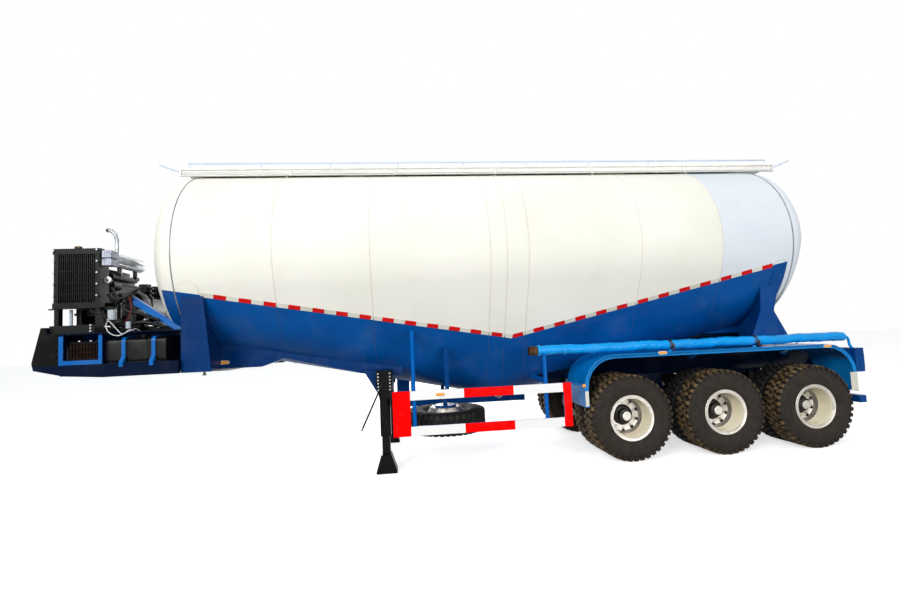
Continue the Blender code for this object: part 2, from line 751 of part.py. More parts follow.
def build_deck_boxes(black, dark, blue):
    outer = DECK_HALF_WIDTH - SILL_WIDTH - RUNNING_GAP
    box_x = (DECK_POSTS[0] + POST_WIDTH + RUNNING_GAP, DECK_POSTS[1] - RUNNING_GAP)
    rim = BATTERY_LID / 3
    battery = union([
        block(box_x, (outer - BATTERY_DEPTH, outer - rim), (ARM_TOP + SEAT, BATTERY_TOP)),
        block((box_x[0] - rim / 2, box_x[1] + rim / 2), (outer - BATTERY_DEPTH - rim, outer),
              (BATTERY_TOP - BATTERY_LID, BATTERY_TOP + LAP)),
    ])
    publish("battery_box", battery, black)
    ends = (FUEL_REAR, FUEL_REAR + FUEL_LENGTH)
    shell = [(0, 0), (FUEL_RADIUS - FUEL_RIM, 0), (FUEL_RADIUS, FUEL_RIM),
             (FUEL_RADIUS, FUEL_LENGTH - FUEL_RIM),
             (FUEL_RADIUS - FUEL_RIM, FUEL_LENGTH), (0, FUEL_LENGTH)]
    tank = turned(shell, (ends[0], FUEL_Y, FUEL_Z), (1, 0, 0), 16)
    filler_x = (ends[0] + ends[1]) / 2
    filler = rod((filler_x, FUEL_Y, FUEL_Z), (filler_x, FUEL_Y, FUEL_Z + FUEL_RADIUS + FUEL_RIM), 0.04, 10)
    publish("fuel_tank", union([tank, filler]), dark)
    low = FUEL_Z - FUEL_RADIUS - SEAT
    half_bed = FUEL_RADIUS * 0.7
    straps = [block(ends, (FUEL_Y - half_bed, FUEL_Y + half_bed), (ARM_TOP + SEAT, low + SHEET))]
    for x in STRAP_STATIONS:
        straps.append(rod((x, FUEL_Y, FUEL_Z), (x + STRAP_WIDTH, FUEL_Y, FUEL_Z), FUEL_RADIUS + STRAP, 16))
    hollow = rod((ends[0] - PLATE, FUEL_Y, FUEL_Z), (ends[1] + PLATE, FUEL_Y, FUEL_Z), FUEL_RADIUS + SEAT,
                 16)
    publish("fuel_tank_cradle", cut(union(straps), [hollow]), blue)


# Engine, radiator, fan, muffler and compressor

def build_engine(black):
    x = ENGINE_X
    front, rear = ENGINE_FRONT, ENGINE_REAR
    face = front + PULLEY_OUT
    pieces = [block((x - half, x + half), (rear + inset, front - inset), (CRANK_Z + low, CRANK_Z + high))
              for half, low, high, inset in ENGINE_SECTIONS]
    cover = [(x - 0.17, CRANK_Z - 0.10), (x - 0.08, CRANK_Z - 0.17), (x + 0.08, CRANK_Z - 0.17),
             (x + 0.17, CRANK_Z - 0.10), (x + 0.12, CRANK_Z + 0.28), (x - 0.12, CRANK_Z + 0.28)]
    pieces.append(profile_y(cover, front - LAP, front + COVER_DEPTH))
    alternator = (x + ALTERNATOR_X, CRANK_Z + ALTERNATOR_RISE)
    hub_back = FAN_Y - FAN_HUB_RADIUS / 2 - SEAT
    turned_parts = (  # x, z, first y, last y, radius, sides
        (x, CRANK_Z, front, face, CRANK_PULLEY, 12),
        (x, SHAFT_Z, front, hub_back, FAN_PULLEY * 0.6, 12),
        (x, SHAFT_Z, face - 0.03, face, FAN_PULLEY, 12),
        (*alternator, front, face, ALTERNATOR_RADIUS * 0.7, 10),
        (*alternator, front - 0.15, front + 0.01, ALTERNATOR_RADIUS, 10),
        (x, CRANK_Z, rear - BELL_LENGTH, rear + LAP, BELL_RADIUS, 16),
        (x - 0.22, CRANK_Z - 0.10, rear - 0.02, rear + 0.20, 0.050, 10),
        (x - MANIFOLD_X, CRANK_Z + MANIFOLD_RISE, rear + 0.08, front - 0.08, MANIFOLD_RADIUS, 8),
        (x + MANIFOLD_X, CRANK_Z + MANIFOLD_RISE, rear + 0.08, front - 0.08, MANIFOLD_RADIUS, 8),
    )
    for part_x, z, first, last, radius, sides in turned_parts:
        pieces.append(rod((part_x, first, z), (part_x, last, z), radius, sides))
    for number in range(CYLINDERS):
        y = rear + ENGINE_LENGTH * (number + 0.5) / CYLINDERS
        z = CRANK_Z + MANIFOLD_RISE
        pieces.append(rod((x - MANIFOLD_X, y, z), (x + MANIFOLD_X, y, z), MANIFOLD_RADIUS * 0.75, 8))
    filter_y = front - 0.12
    pieces.append(rod((x - 0.225, filter_y, CRANK_Z - 0.20), (x - 0.225, filter_y, CRANK_Z), 0.048, 10))
    blocks = [
        ((alternator[0], x - 0.14), (front - 0.12, front - 0.04),
         (alternator[1] - 0.08, alternator[1] - 0.04)),
        ((x - 0.235, x - 0.14), (front - 0.46, front - 0.20), (CRANK_Z + 0.01, CRANK_Z + 0.12)),
    ]
    flange = (CRANK_Z + MANIFOLD_RISE, CRANK_Z + MANIFOLD_RISE + MANIFOLD_FLANGE)
    for y in muffler_stubs():
        half = MANIFOLD_RADIUS
        blocks.append(((x - MANIFOLD_X - half, x - MANIFOLD_X + half), (y - half, y + half), flange))
    skid_top = DECK_TOP + SKID_HEIGHT
    for side in (-1, 1):
        skid = (x + side * SKID_X - SKID_WIDTH / 2, x + side * SKID_X + SKID_WIDTH / 2)
        foot = (skid[0] + LAP, skid[1] - LAP)
        blocks.append((skid, (-SKID_Y, SKID_Y - 0.04), (DECK_TOP + SEAT, skid_top)))
        for y in (front - 0.12, rear - BELL_LENGTH / 2):
            blocks.append((foot, (y - 0.05, y + 0.05), (skid_top - LAP, CRANK_Z - 0.05)))
    pieces += [block(*spans) for spans in blocks]
    publish("engine", union(pieces), black)


def muffler_stubs():
    """Stations along Y of the two pipes that join the exhaust manifold to the muffler."""
    return [ENGINE_REAR + ENGINE_LENGTH * (number + 0.5) / CYLINDERS for number in (0, CYLINDERS - 2)]


def build_fan(silver):
    blades = []
    for number in range(FAN_BLADES):
        half = FAN_BLADE_WIDTH / 2
        blade = block((-half, half), (-LAP, LAP), (FAN_HUB_RADIUS - SHEET, FAN_RADIUS))
        blade.data.transform(Matrix.Rotation(math.radians(FAN_PITCH), 4, "Z"))
        blade.data.transform(Matrix.Rotation(2 * math.pi * number / FAN_BLADES, 4, "Y"))
        blade.data.transform(Matrix.Translation((ENGINE_X, FAN_Y, SHAFT_Z)))
        blades.append(blade)
    half_hub = FAN_HUB_RADIUS / 2
    hub = rod((ENGINE_X, FAN_Y - half_hub, SHAFT_Z), (ENGINE_X, FAN_Y + half_hub, SHAFT_Z),
              FAN_HUB_RADIUS, 12)
    publish("radiator_fan", union([hub] + blades), silver, origin=(ENGINE_X, FAN_Y, SHAFT_Z))


def build_radiator(black):
    half = RADIATOR_WIDTH / 2
    face, back = RADIATOR_FACE, RADIATOR_FACE - RADIATOR_DEPTH
    low, high = RADIATOR_LOW + RADIATOR_TANK, RADIATOR_HIGH - RADIATOR_TANK
    x = ENGINE_X
    span = (x - half, x + half)
    pieces = [
        block((x - half + LAP, x + half - LAP), (back + 0.02, face - 0.025), (low - LAP, high + LAP)),
        block((span[0] - SHEET, span[1] + SHEET), (back, face + LAP), (high, RADIATOR_HIGH)),
        block((span[0] - SHEET, span[1] + SHEET), (back, face + LAP), (RADIATOR_LOW, low)),
        rod((x + 0.02, face - RADIATOR_DEPTH / 2, high),
            (x + 0.02, face - RADIATOR_DEPTH / 2, RADIATOR_HIGH + 0.03),
            0.030, 10),
    ]
    core = (span[0] + RADIATOR_COLUMN, span[1] - RADIATOR_COLUMN)
    for number in range(RADIATOR_FINS):
        fin_x = core[0] + (core[1] - core[0]) * (number + 0.5) / RADIATOR_FINS
        pieces.append(block((fin_x - LAP, fin_x + LAP), (face - 0.030, face - LAP),
                            (low - LAP, high + LAP)))
    shroud_low, shroud_high = SHAFT_Z - half, SHAFT_Z + half
    shroud_y = (back - SHROUD_DEPTH, back + 0.021)
    for place in (-1, 1):
        outer = x + place * half
        pieces.append(block(sorted((outer, outer - place * RADIATOR_COLUMN)), (back, face),
                            (low - LAP, high + LAP)))
        pieces.append(block(sorted((outer, outer - place * SHROUD_WALL)), shroud_y,
                            (shroud_low, shroud_high)))
        pieces.append(block(sorted((outer, outer - place * RADIATOR_COLUMN)), (back, face - SHEET),
                            (DECK_TOP + STAND_BEAM - LAP, RADIATOR_LOW + LAP)))
    for edge, inward in ((shroud_low, 1), (shroud_high, -1)):
        pieces.append(block(span, shroud_y, sorted((edge, edge + inward * SHROUD_WALL))))
    pieces.append(block((span[0] - SHEET, DECK_FRONT - LAP), (back, DECK_HALF_WIDTH - SILL_WIDTH),
                        (DECK_TOP + SEAT, DECK_TOP + STAND_BEAM)))
    publish("radiator", union(pieces), black)


def build_muffler(silver):
    x, z = MUFFLER_X, MUFFLER_Z
    near = ENGINE_FRONT - 0.13
    box_front = RADIATOR_FACE - RADIATOR_DEPTH - SHROUD_DEPTH - SEAT
    stack = [(x + 0.03, STACK_Y, z), (x + 0.03, STACK_Y, STACK_TOP - 0.15),
             (x + 0.05, STACK_Y, STACK_TOP - 0.07),
             (x + 0.10, STACK_Y, STACK_TOP - 0.015), (x + 0.15, STACK_Y, STACK_TOP)]
    end = MUFFLER_RADIUS - 0.02
    shell = [(0, 0), (end, 0), (MUFFLER_RADIUS, 0.02), (MUFFLER_RADIUS, near - MUFFLER_FAR),
             (0, near - MUFFLER_FAR)]
    pieces = [
        turned(shell, (x, MUFFLER_FAR, z), (0, 1, 0), 16),
        block((x - 0.07, x + 0.10), (near - LAP, box_front), (z - 0.09, z - 0.004)),
        block((x - 0.06, x + 0.09), (near - LAP, box_front - SHEET), (z - 0.014, z + 0.008)),
        block((x - 0.07, x + 0.10), (near - LAP, box_front), (z, z + 0.085)),
        tube_path(stack, STACK_RADIUS, 10),
    ]
    foot = CRANK_Z + MANIFOLD_RISE + MANIFOLD_FLANGE + SEAT
    port_x = ENGINE_X - MANIFOLD_X
    for y in muffler_stubs():
        pieces.append(rod((port_x, y, z - 0.03), (port_x, y, foot), MANIFOLD_RADIUS * 0.8, 8))
    publish("muffler", union(pieces), silver)


def build_compressor(black):
    x = ENGINE_X
    front = ENGINE_REAR - BELL_LENGTH - SEAT
    case_front = front - 0.14
    case_rear = case_front - COMPRESSOR_LENGTH
    base = CRANK_Z + 0.13
    pieces = [
        rod((x, front, CRANK_Z), (x, case_front - LAP, CRANK_Z), 0.10, 12),
        block((x - 0.19, x + 0.19), (case_rear, case_front), (CRANK_Z - 0.24, base)),
    ]
    fins = [(0, 0), (0.085, 0)]
    for number in range(3):
        z = 0.03 + number * 0.07
        fins += [(0.085, z), (0.115, z), (0.115, z + 0.02), (0.085, z + 0.02)]
    fins += [(0.085, 0.24), (0, 0.24)]
    for number in range(COMPRESSOR_BORES):
        y = case_rear + COMPRESSOR_LENGTH * (number + 0.5) / COMPRESSOR_BORES
        pieces.append(turned(fins, (x, y, base - LAP), (0, 0, 1), 8))
    pipe_z = CRANK_Z - 0.16
    end_x = TANK_FRONT + HEAD_DEPTH * 0.9
    pipe_y = case_rear + 0.22
    pieces.append(tube_path([(x - 0.17, pipe_y, pipe_z), (x - 0.42, pipe_y, pipe_z),
                             (end_x + 0.10, 0.0, pipe_z), (end_x - 0.30, 0.0, pipe_z + 0.15)], 0.050, 8))
    for side in (-1, 1):
        foot = (x + side * SKID_X - SKID_WIDTH / 2 + LAP, x + side * SKID_X + SKID_WIDTH / 2 - LAP)
        pieces.append(block(foot, (case_rear + 0.06, case_front - 0.06),
                            (DECK_TOP + SKID_HEIGHT + SEAT, CRANK_Z - 0.15)))
    publish("air_compressor", cut(union(pieces), [tank_envelope()]), black)


# Landing legs, side guards and the spare wheel

def build_legs(black):
    half, inner = LEG_OUTER / 2, LEG_INNER / 2
    foot = [(LEG_X - FOOT_LENGTH / 2, 0.0), (LEG_X + FOOT_LENGTH / 2, 0.0),
            (LEG_X + FOOT_LENGTH / 2, FOOT_PLATE),
            (LEG_X + inner + SHEET, FOOT_HEIGHT), (LEG_X - inner - SHEET, FOOT_HEIGHT),
            (LEG_X - FOOT_LENGTH / 2, FOOT_PLATE)]
    head = [(LEG_X - half, LEG_HEAD_LOW), (LEG_X + half, LEG_HEAD_LOW),
            (LEG_X + LEG_HEAD_HALF, LEG_HEAD_LOW + 0.20),
            (LEG_X + LEG_HEAD_HALF, LEG_TOP), (LEG_X - LEG_HEAD_HALF, LEG_TOP),
            (LEG_X - LEG_HEAD_HALF, LEG_HEAD_LOW + 0.20)]
    crank_z = LEG_TOP - 0.12
    face = LEG_Y + half + PLATE
    crank = [(LEG_X, face - SHEET, crank_z), (LEG_X, face + 0.05, crank_z),
             (LEG_X + CRANK_ARM, face + 0.05, crank_z - CRANK_DROP),
             (LEG_X + CRANK_ARM, face + 0.05 + CRANK_GRIP, crank_z - CRANK_DROP)]
    for name, side in (("landing_leg_left", 1), ("landing_leg_right", -1)):
        y = side * LEG_Y
        leg = [
            block((LEG_X - half, LEG_X + half), (y - half, y + half), (LEG_OUTER_BOTTOM, LEG_TOP - LAP)),
            block((LEG_X - inner, LEG_X + inner), (y - inner, y + inner),
                  (FOOT_PLATE, LEG_OUTER_BOTTOM + LAP)),
            profile_y(foot, y - FOOT_WIDTH / 2, y + FOOT_WIDTH / 2),
            profile_y(head, *both(side, LEG_Y - half + LAP, LEG_Y + half + PLATE)),
        ]
        if side == 1:
            leg.append(tube_path(crank, CRANK_RADIUS, 8))
        publish(name, union(leg), black)
    reach = LEG_Y - half - SEAT
    shaft_z = LEG_HEAD_LOW + 0.03
    publish("leg_cross_shaft", rod((LEG_X, -reach, shaft_z), (LEG_X, reach, shaft_z), 0.018, 8), black)


def build_guards(red):
    post_y = GUARD_Y + LAP - GUARD_POST_RADIUS
    radius = GUARD_POST_RADIUS
    front_post, rear_post = GUARD_POSTS
    hose_low = hose_height() - HOSE_RADIUS - SEAT
    for label, side in (("left", 1), ("right", -1)):
        face = both(side, GUARD_Y, GUARD_Y + GUARD_THICKNESS)
        rails_y = both(side, GUARD_Y, GUARD_Y + GUARD_THICKNESS - LAP)
        pieces = [
            block((GUARD_FRONT - GUARD_FRONT_PLATE, GUARD_FRONT), face, (GUARD_BOTTOM, GUARD_TOP)),
            block((GUARD_REAR, GUARD_REAR + GUARD_REAR_PLATE), face, (GUARD_BOTTOM, GUARD_TOP)),
        ]
        for low in (GUARD_BOTTOM + LAP, GUARD_TOP - GUARD_RAIL - LAP):
            pieces.append(block((GUARD_REAR + SHEET, GUARD_FRONT - SHEET), rails_y,
                                (low, low + GUARD_RAIL)))
        reach = tank_side(front_post, GUARD_STRUT_TOP)
        pieces += [
            rod((front_post, side * post_y, GUARD_BOTTOM + SHEET),
                (front_post, side * post_y, GUARD_STRUT_TOP + radius),
                radius, 8, math.pi / 8),
            rod((front_post, side * post_y, GUARD_STRUT_TOP),
                (front_post, side * (reach - radius * 4), GUARD_STRUT_TOP),
                radius * 0.9, 8),
            rod((rear_post, side * post_y, GUARD_BOTTOM + SHEET), (rear_post, side * post_y, hose_low),
                radius, 8,
                math.pi / 8),
        ]
        for x, z in ((rear_post, RAIL_BOTTOM + 2 * radius), (front_post, belly(front_post) + radius * 4)):
            inner = SPRING_Y + RAIL_WEB / 2 + SEAT if x == rear_post else 0.2
            pieces.append(block((x - radius * 0.9, x + radius * 0.9), both(side, inner, post_y),
                                (z - radius, z + radius)))
        publish(f"side_guard_{label}", cut(union(pieces), [tank_envelope()]), red)


def tyre_profile():
    """Section of a tyre as (radius, offset) pairs, from bead to bead."""
    half = TYRE_WIDTH / 2
    bead = RIM_SEAT_RADIUS + SEAT
    near = [(bead, TYRE_BEAD_SPREAD / 2), (TYRE_RADIUS - TYRE_WALL_DROP, half),
            (TYRE_RADIUS, TREAD_WIDTH / 2)]
    return [(radius, -offset) for radius, offset in near] + near[::-1]


def rim_skin(centre, toward):
    """Outer side of one rim, from its far flange to its near one."""
    half = RIM_WIDTH / 2 * toward
    step = RIM_FLANGE_STEP * toward
    return [(RIM_FLANGE_RADIUS, centre + half), (RIM_SEAT_RADIUS, centre + half - step),
            (RIM_SEAT_RADIUS, centre - half + step), (RIM_FLANGE_RADIUS, centre - half)]


def spare_rim_profile():
    inside = RIM_SEAT_RADIUS - RIM_WALL
    half = RIM_WIDTH / 2
    mount = TWIN_SPACING / 2
    return rim_skin(0.0, 1) + [
        (inside, -half), (inside, half - RIM_CONE_LENGTH), (DISC_RADIUS, mount - DISC_THICKNESS),
        (PILOT_RADIUS, mount - DISC_THICKNESS), (PILOT_RADIUS, mount), (DISC_RADIUS, mount), (inside, half)]


def twin_wheel_profile():
    """Hub with both rims, as (radius, offset) pairs. The twins' middle is at offset 0."""
    inside = RIM_SEAT_RADIUS - RIM_WALL
    near = TWIN_SPACING / 2 - RIM_WIDTH / 2
    far = TWIN_SPACING / 2 + RIM_WIDTH / 2
    bore = (AXLE_RADIUS + SEAT) / math.cos(math.pi / WHEEL_SEGMENTS)
    face = TWIN_SPACING / 2 + TYRE_WIDTH / 2 - HUB_CAP_RECESS
    disc = DISC_THICKNESS
    cone = near + RIM_CONE_LENGTH
    outer = rim_skin(TWIN_SPACING / 2, 1) + [(DISC_RADIUS, 0)]
    inner = [(r, -y) for r, y in rim_skin(TWIN_SPACING / 2, 1)[::-1]]
    end = stub_end() - twin_middle() + LAP
    back = [(inside, -far), (inside, -cone), (DISC_RADIUS, -disc), (HUB_RADIUS, -disc),
            (HUB_RADIUS, -HUB_LENGTH), (bore, -HUB_LENGTH), (bore, end), (0, end)]
    front = [(0, face), (HUB_CAP_RADIUS, face), (HUB_CAP_RADIUS + LAP * 2, face - HUB_CAP_HEIGHT),
             (HUB_RADIUS, disc),
             (DISC_RADIUS, disc), (inside, cone), (inside, far)]
    return outer + inner + back + front


def twin_middle():
    return OUTER_TYRE_Y - TWIN_SPACING / 2


def stub_end():
    return twin_middle() - 0.02


def build_spare(rubber, silver, blue):
    centre = (SPARE_X, SPARE_Y, SPARE_Z)
    publish("spare_tyre", turned(tyre_profile(), centre, (0, 0, 1), WHEEL_SEGMENTS), rubber)
    publish("spare_rim", turned(spare_rim_profile(), centre, (0, 0, 1), WHEEL_SEGMENTS), silver)
    seat_z = SPARE_Z + TWIN_SPACING / 2 + SEAT
    beam_z = belly(SPARE_X) - 0.22
    half = CARRIER_BEAM / 2
    carrier = [
        rod((SPARE_X, SPARE_Y, seat_z), (SPARE_X, SPARE_Y, seat_z + 2 * SHEET), PILOT_RADIUS + SHEET, 12),
        rod((SPARE_X, SPARE_Y, seat_z + SHEET), (SPARE_X, SPARE_Y, beam_z + LAP), half, 8),
        block((SPARE_X - half, SPARE_X + half), (SPARE_Y - CARRIER_REACH, SPARE_Y + CARRIER_REACH),
              (beam_z, beam_z + CARRIER_BEAM)),
    ]
    for side in (-1, 1):
        post_y = SPARE_Y + side * (CARRIER_REACH - half)
        carrier.append(block((SPARE_X - half + LAP, SPARE_X + half - LAP),
                             (post_y - half + LAP, post_y + half - LAP),
                             (beam_z + LAP, belly(SPARE_X) + 0.5)))
    publish("spare_carrier", cut(union(carrier), [tank_envelope()]), blue)


# Running gear

def axle_station(number):
    return -(number - 1) * AXLE_SPACING


def build_axles(black):
    drum_in = OUTER_TYRE_Y - TWIN_SPACING - TYRE_WIDTH / 2 - DRUM_GAP
    half_width = SPRING_WIDTH / 2
    low = TYRE_RADIUS + AXLE_RADIUS - DRUM_GAP
    for number in range(1, AXLE_COUNT + 1):
        x = axle_station(number)
        z = TYRE_RADIUS
        pieces = [rod((x, -stub_end(), z), (x, stub_end(), z), AXLE_RADIUS, WHEEL_SEGMENTS,
                      math.pi / WHEEL_SEGMENTS)]
        for side in (-1, 1):
            pieces.append(rod((x, side * (drum_in - DRUM_WIDTH), z), (x, side * drum_in, z), DRUM_RADIUS,
                              12))
            y = side * SPRING_Y
            pad = (y - half_width - PLATE / 2, y + half_width + PLATE / 2)
            pieces.append(block((x - SPRING_PAD, x + SPRING_PAD), pad, (low, low + BOLT_PLATE + LAP)))
            pieces.append(leaf_pack(x, y, low + BOLT_PLATE))
        publish(f"axle_{number}", union(pieces), black)


def leaf_pack(x, y, low):
    """Stack of leaves, each longer than the one below it."""
    steps = []
    for leaf in range(SPRING_LEAVES):
        length = SPRING_LENGTH / 2 * (leaf + 2) / (SPRING_LEAVES + 1)
        base = low + leaf * LEAF_THICKNESS
        steps += [(length, base), (length, base + LEAF_THICKNESS)]
    outline = [(x + dx, z) for dx, z in steps] + [(x - dx, z) for dx, z in steps[::-1]]
    return profile_y(outline, y - SPRING_WIDTH / 2, y + SPRING_WIDTH / 2)


def spring_top():
    return TYRE_RADIUS + AXLE_RADIUS - DRUM_GAP + BOLT_PLATE + SPRING_LEAVES * LEAF_THICKNESS


def build_wheels(rubber, silver):
    for number in range(1, AXLE_COUNT + 1):
        x = axle_station(number)
        for label, side in (("left", 1), ("right", -1)):
            hub_centre = (x, side * twin_middle(), TYRE_RADIUS)
            for place, y in (("outer", OUTER_TYRE_Y), ("inner", OUTER_TYRE_Y - TWIN_SPACING)):
                tyre = turned(tyre_profile(), (x, side * y, TYRE_RADIUS), (0, side, 0), WHEEL_SEGMENTS)
                publish(f"tyre_{number}_{label}_{place}", tyre, rubber, origin=hub_centre)
            wheel = turned(twin_wheel_profile(), hub_centre, (0, side, 0), WHEEL_SEGMENTS)
            publish(f"wheel_{number}_{label}", wheel, silver, origin=hub_centre)


def build_bogie(blue):
    last = axle_station(AXLE_COUNT)
    web = [(RAIL_FRONT, RAIL_BOTTOM), (RAIL_FRONT, RAIL_BOTTOM + RAIL_NOSE_DEPTH),
           (RAIL_FRONT - 0.25, RAIL_TOP),
           (TANK_REAR, RAIL_TOP), (TANK_REAR - 0.12, RAIL_REAR_TOP), (RAIL_REAR, RAIL_REAR_TOP),
           (RAIL_REAR, RAIL_BOTTOM)]
    hangers = [(SPRING_LENGTH / 2, END_HANGER_REACH), (last - SPRING_LENGTH / 2, END_HANGER_REACH)]
    hangers += [(axle_station(number) - AXLE_SPACING / 2, MID_HANGER_REACH) for number in range(1,
                                                                                                AXLE_COUNT)]
    pieces = []
    for side in (-1, 1):
        y = side * SPRING_Y
        pieces.append(profile_y(web, y - RAIL_WEB / 2, y + RAIL_WEB / 2))
        pieces.append(block((RAIL_REAR, RAIL_FRONT), (y - RAIL_FLANGE / 2, y + RAIL_FLANGE / 2),
                            (RAIL_BOTTOM - RAIL_WEB, RAIL_BOTTOM + LAP)))
        for x, reach in hangers:
            hanger = [(x - reach, spring_top() + SEAT), (x + reach, spring_top() + SEAT),
                      (x + reach - HANGER_WIDTH / 2, RAIL_BOTTOM),
                      (x - reach + HANGER_WIDTH / 2, RAIL_BOTTOM)]
            pieces.append(profile_y(hanger, y - HANGER_WIDTH / 2, y + HANGER_WIDTH / 2))
    middles = [axle_station(number) - AXLE_SPACING / 2 for number in range(1, AXLE_COUNT)]
    for x in [RAIL_FRONT - CROSS_MEMBER] + middles + [LADDER_X]:
        pieces.append(block((x - CROSS_MEMBER / 2, x + CROSS_MEMBER / 2), (-SPRING_Y, SPRING_Y),
                            (RAIL_BOTTOM - LAP, RAIL_BOTTOM + CROSS_MEMBER)))
    publish("bogie_frame", cut(union(pieces), [tank_envelope()]), blue)


def build_saddles(blue):
    """Web across the trailer at each side, with an hourglass plate along its outer edge."""
    gap = SPRING_Y + RAIL_WEB / 2 + SEAT
    top = TANK_CENTRE_Z - 0.40
    waist = (SADDLE_BOTTOM + top) / 2 - 0.12
    cheek = [(SADDLE_X + 0.25, SADDLE_BOTTOM), (SADDLE_X + 0.25, SADDLE_BOTTOM + 0.05),
             (SADDLE_X + 0.10, waist),
             (SADDLE_X + 0.05, top), (SADDLE_X - 0.29, top), (SADDLE_X - 0.10, waist),
             (SADDLE_X - 0.28, SADDLE_BOTTOM + 0.05), (SADDLE_X - 0.28, SADDLE_BOTTOM)]
    for label, side in (("left", 1), ("right", -1)):
        pieces = [
            profile_y(cheek, *both(side, SADDLE_HALF_WIDTH - PLATE, SADDLE_HALF_WIDTH)),
            block((SADDLE_X - PLATE / 2, SADDLE_X + PLATE / 2), both(side, gap, SADDLE_HALF_WIDTH - LAP),
                  (SADDLE_BOTTOM + LAP, top)),
            block((SADDLE_X - 0.28 + LAP, SADDLE_X + 0.25 - LAP), both(side, gap, SADDLE_HALF_WIDTH - LAP),
                  (SADDLE_BOTTOM, SADDLE_BOTTOM + PLATE)),
        ]
        publish(f"rear_saddle_{label}", cut(union(pieces), [tank_envelope()]), blue)


def arc(centre, radius, start, end, steps):
    return [(centre[0] + radius * math.cos(math.radians(start + (end - start) * i / steps)),
             centre[1] + radius * math.sin(math.radians(start + (end - start) * i / steps)))
            for i in range(steps + 1)]


def fender_line(inset):
    """Upper line of a fender in X and Z, moved inwards by the inset."""
    front = FENDER_FRONT
    rear = axle_station(AXLE_COUNT) - FENDER_FRONT
    low_arc = FENDER_TOP - FENDER_CORNER
    radius = FENDER_CORNER - inset
    return ([(front - inset, FENDER_FOOT)]
            + arc((front - FENDER_CORNER, low_arc), radius, 0, 90, 5)
            + arc((rear + FENDER_CORNER, low_arc), radius, 90, 180, 5)
            + [(rear + inset, FENDER_FOOT)])


def build_fenders(blue):
    span_low = axle_station(AXLE_COUNT) - AXLE_SPACING * 0.15
    span_high = AXLE_SPACING * 0.15
    stay_z = RAIL_BOTTOM + 0.20
    for label, side in (("left", 1), ("right", -1)):
        sheet = profile_y(fender_line(0.0) + fender_line(SHEET)[::-1],
                          *both(side, FENDER_INNER_Y, HALF_WIDTH))
        lip = profile_y(fender_line(LAP) + fender_line(FENDER_LIP)[::-1],
                        *both(side, HALF_WIDTH - SHEET, HALF_WIDTH - SEAT))
        pieces = [sheet, lip]
        rail_y = side * (SPRING_Y + RAIL_WEB / 2 + SEAT)
        for x in spread(span_low, span_high, AXLE_SPACING * 0.9):
            pieces.append(tube_path([(x, rail_y, stay_z), (x, rail_y + side * 0.08, stay_z),
                                     (x, side * 0.80, FENDER_TOP - SHEET / 2)], FENDER_STAY, 4))
        publish(f"fender_{label}", union(pieces), blue)


def hose_height():
    return FENDER_TOP + HOSE_LIFT + HOSE_RADIUS


def build_hose(blue):
    z = hose_height()
    hose = tube_path([(HOSE_FRONT, HOSE_Y, z), (HOSE_COLLAR, HOSE_Y, z), (HOSE_CLAMPS[0], HOSE_Y, z - LAP),
                      (HOSE_CLAMPS[1], HOSE_Y, z + LAP), (HOSE_REAR, HOSE_Y, z)], HOSE_RADIUS, 12)
    pieces = [hose]
    for x in HOSE_CLAMPS + (HOSE_COLLAR,):
        pieces.append(rod((x - CLAMP_WIDTH / 2, HOSE_Y, z), (x + CLAMP_WIDTH / 2, HOSE_Y, z),
                          HOSE_RADIUS + PLATE / 2, 12))
    for x in HOSE_CLAMPS:
        pieces.append(block((x - CLAMP_WIDTH / 2, x + CLAMP_WIDTH / 2),
                            (HOSE_Y - CLAMP_WIDTH, HOSE_Y + CLAMP_WIDTH),
                            (FENDER_TOP + SEAT, z - HOSE_RADIUS + SHEET)))
    bores = [rod((x, HOSE_Y, z), (x + reach, HOSE_Y, z), HOSE_BORE, 12)
             for x, reach in ((HOSE_FRONT - 0.20, 0.30), (HOSE_REAR + 0.10, -0.20))]
    publish("carried_hose", cut(union(pieces), bores), blue)


def build_bumper(blue):
    half = BUMPER_SIZE / 2
    pieces = [block((BUMPER_X - half, BUMPER_X + half), (-BUMPER_HALF_WIDTH, BUMPER_HALF_WIDTH),
                    (BUMPER_Z - half, BUMPER_Z + half))]
    for side in (-1, 1):
        y = side * SPRING_Y
        pieces.append(block((RAIL_REAR + LAP, BUMPER_X + half - LAP), (y - half, y + half),
                            (BUMPER_Z, RAIL_BOTTOM - RAIL_WEB - SEAT)))
    publish("rear_bumper", union(pieces), blue)


def build_lamp_panel(blue):
    back = REAR_END + LAMP_DEPTH
    pieces = [block((back, RAIL_REAR - SEAT), (-LAMP_BOX_OUTER_Y, LAMP_BOX_OUTER_Y),
                    (RAIL_BOTTOM, RAIL_REAR_TOP - LAMP_RADIUS))]
    middle = (LAMP_BOX_INNER_Y + LAMP_BOX_OUTER_Y) / 2
    for side in (-1, 1):
        pieces.append(block((back, back + LAMP_BOX_DEPTH),
                            both(side, LAMP_BOX_INNER_Y, LAMP_BOX_OUTER_Y - LAP),
                            (LAMP_BOX_LOW, LAMP_BOX_HIGH)))
        for place in (-1, 0, 1):
            y = side * middle + place * LAMP_RADIUS * 2.4
            z = (LAMP_BOX_LOW + LAMP_BOX_HIGH) / 2
            pieces.append(rod((REAR_END, y, z), (back + LAP, y, z), LAMP_RADIUS, 10))
    publish("rear_lamp_panel", union(pieces), blue)


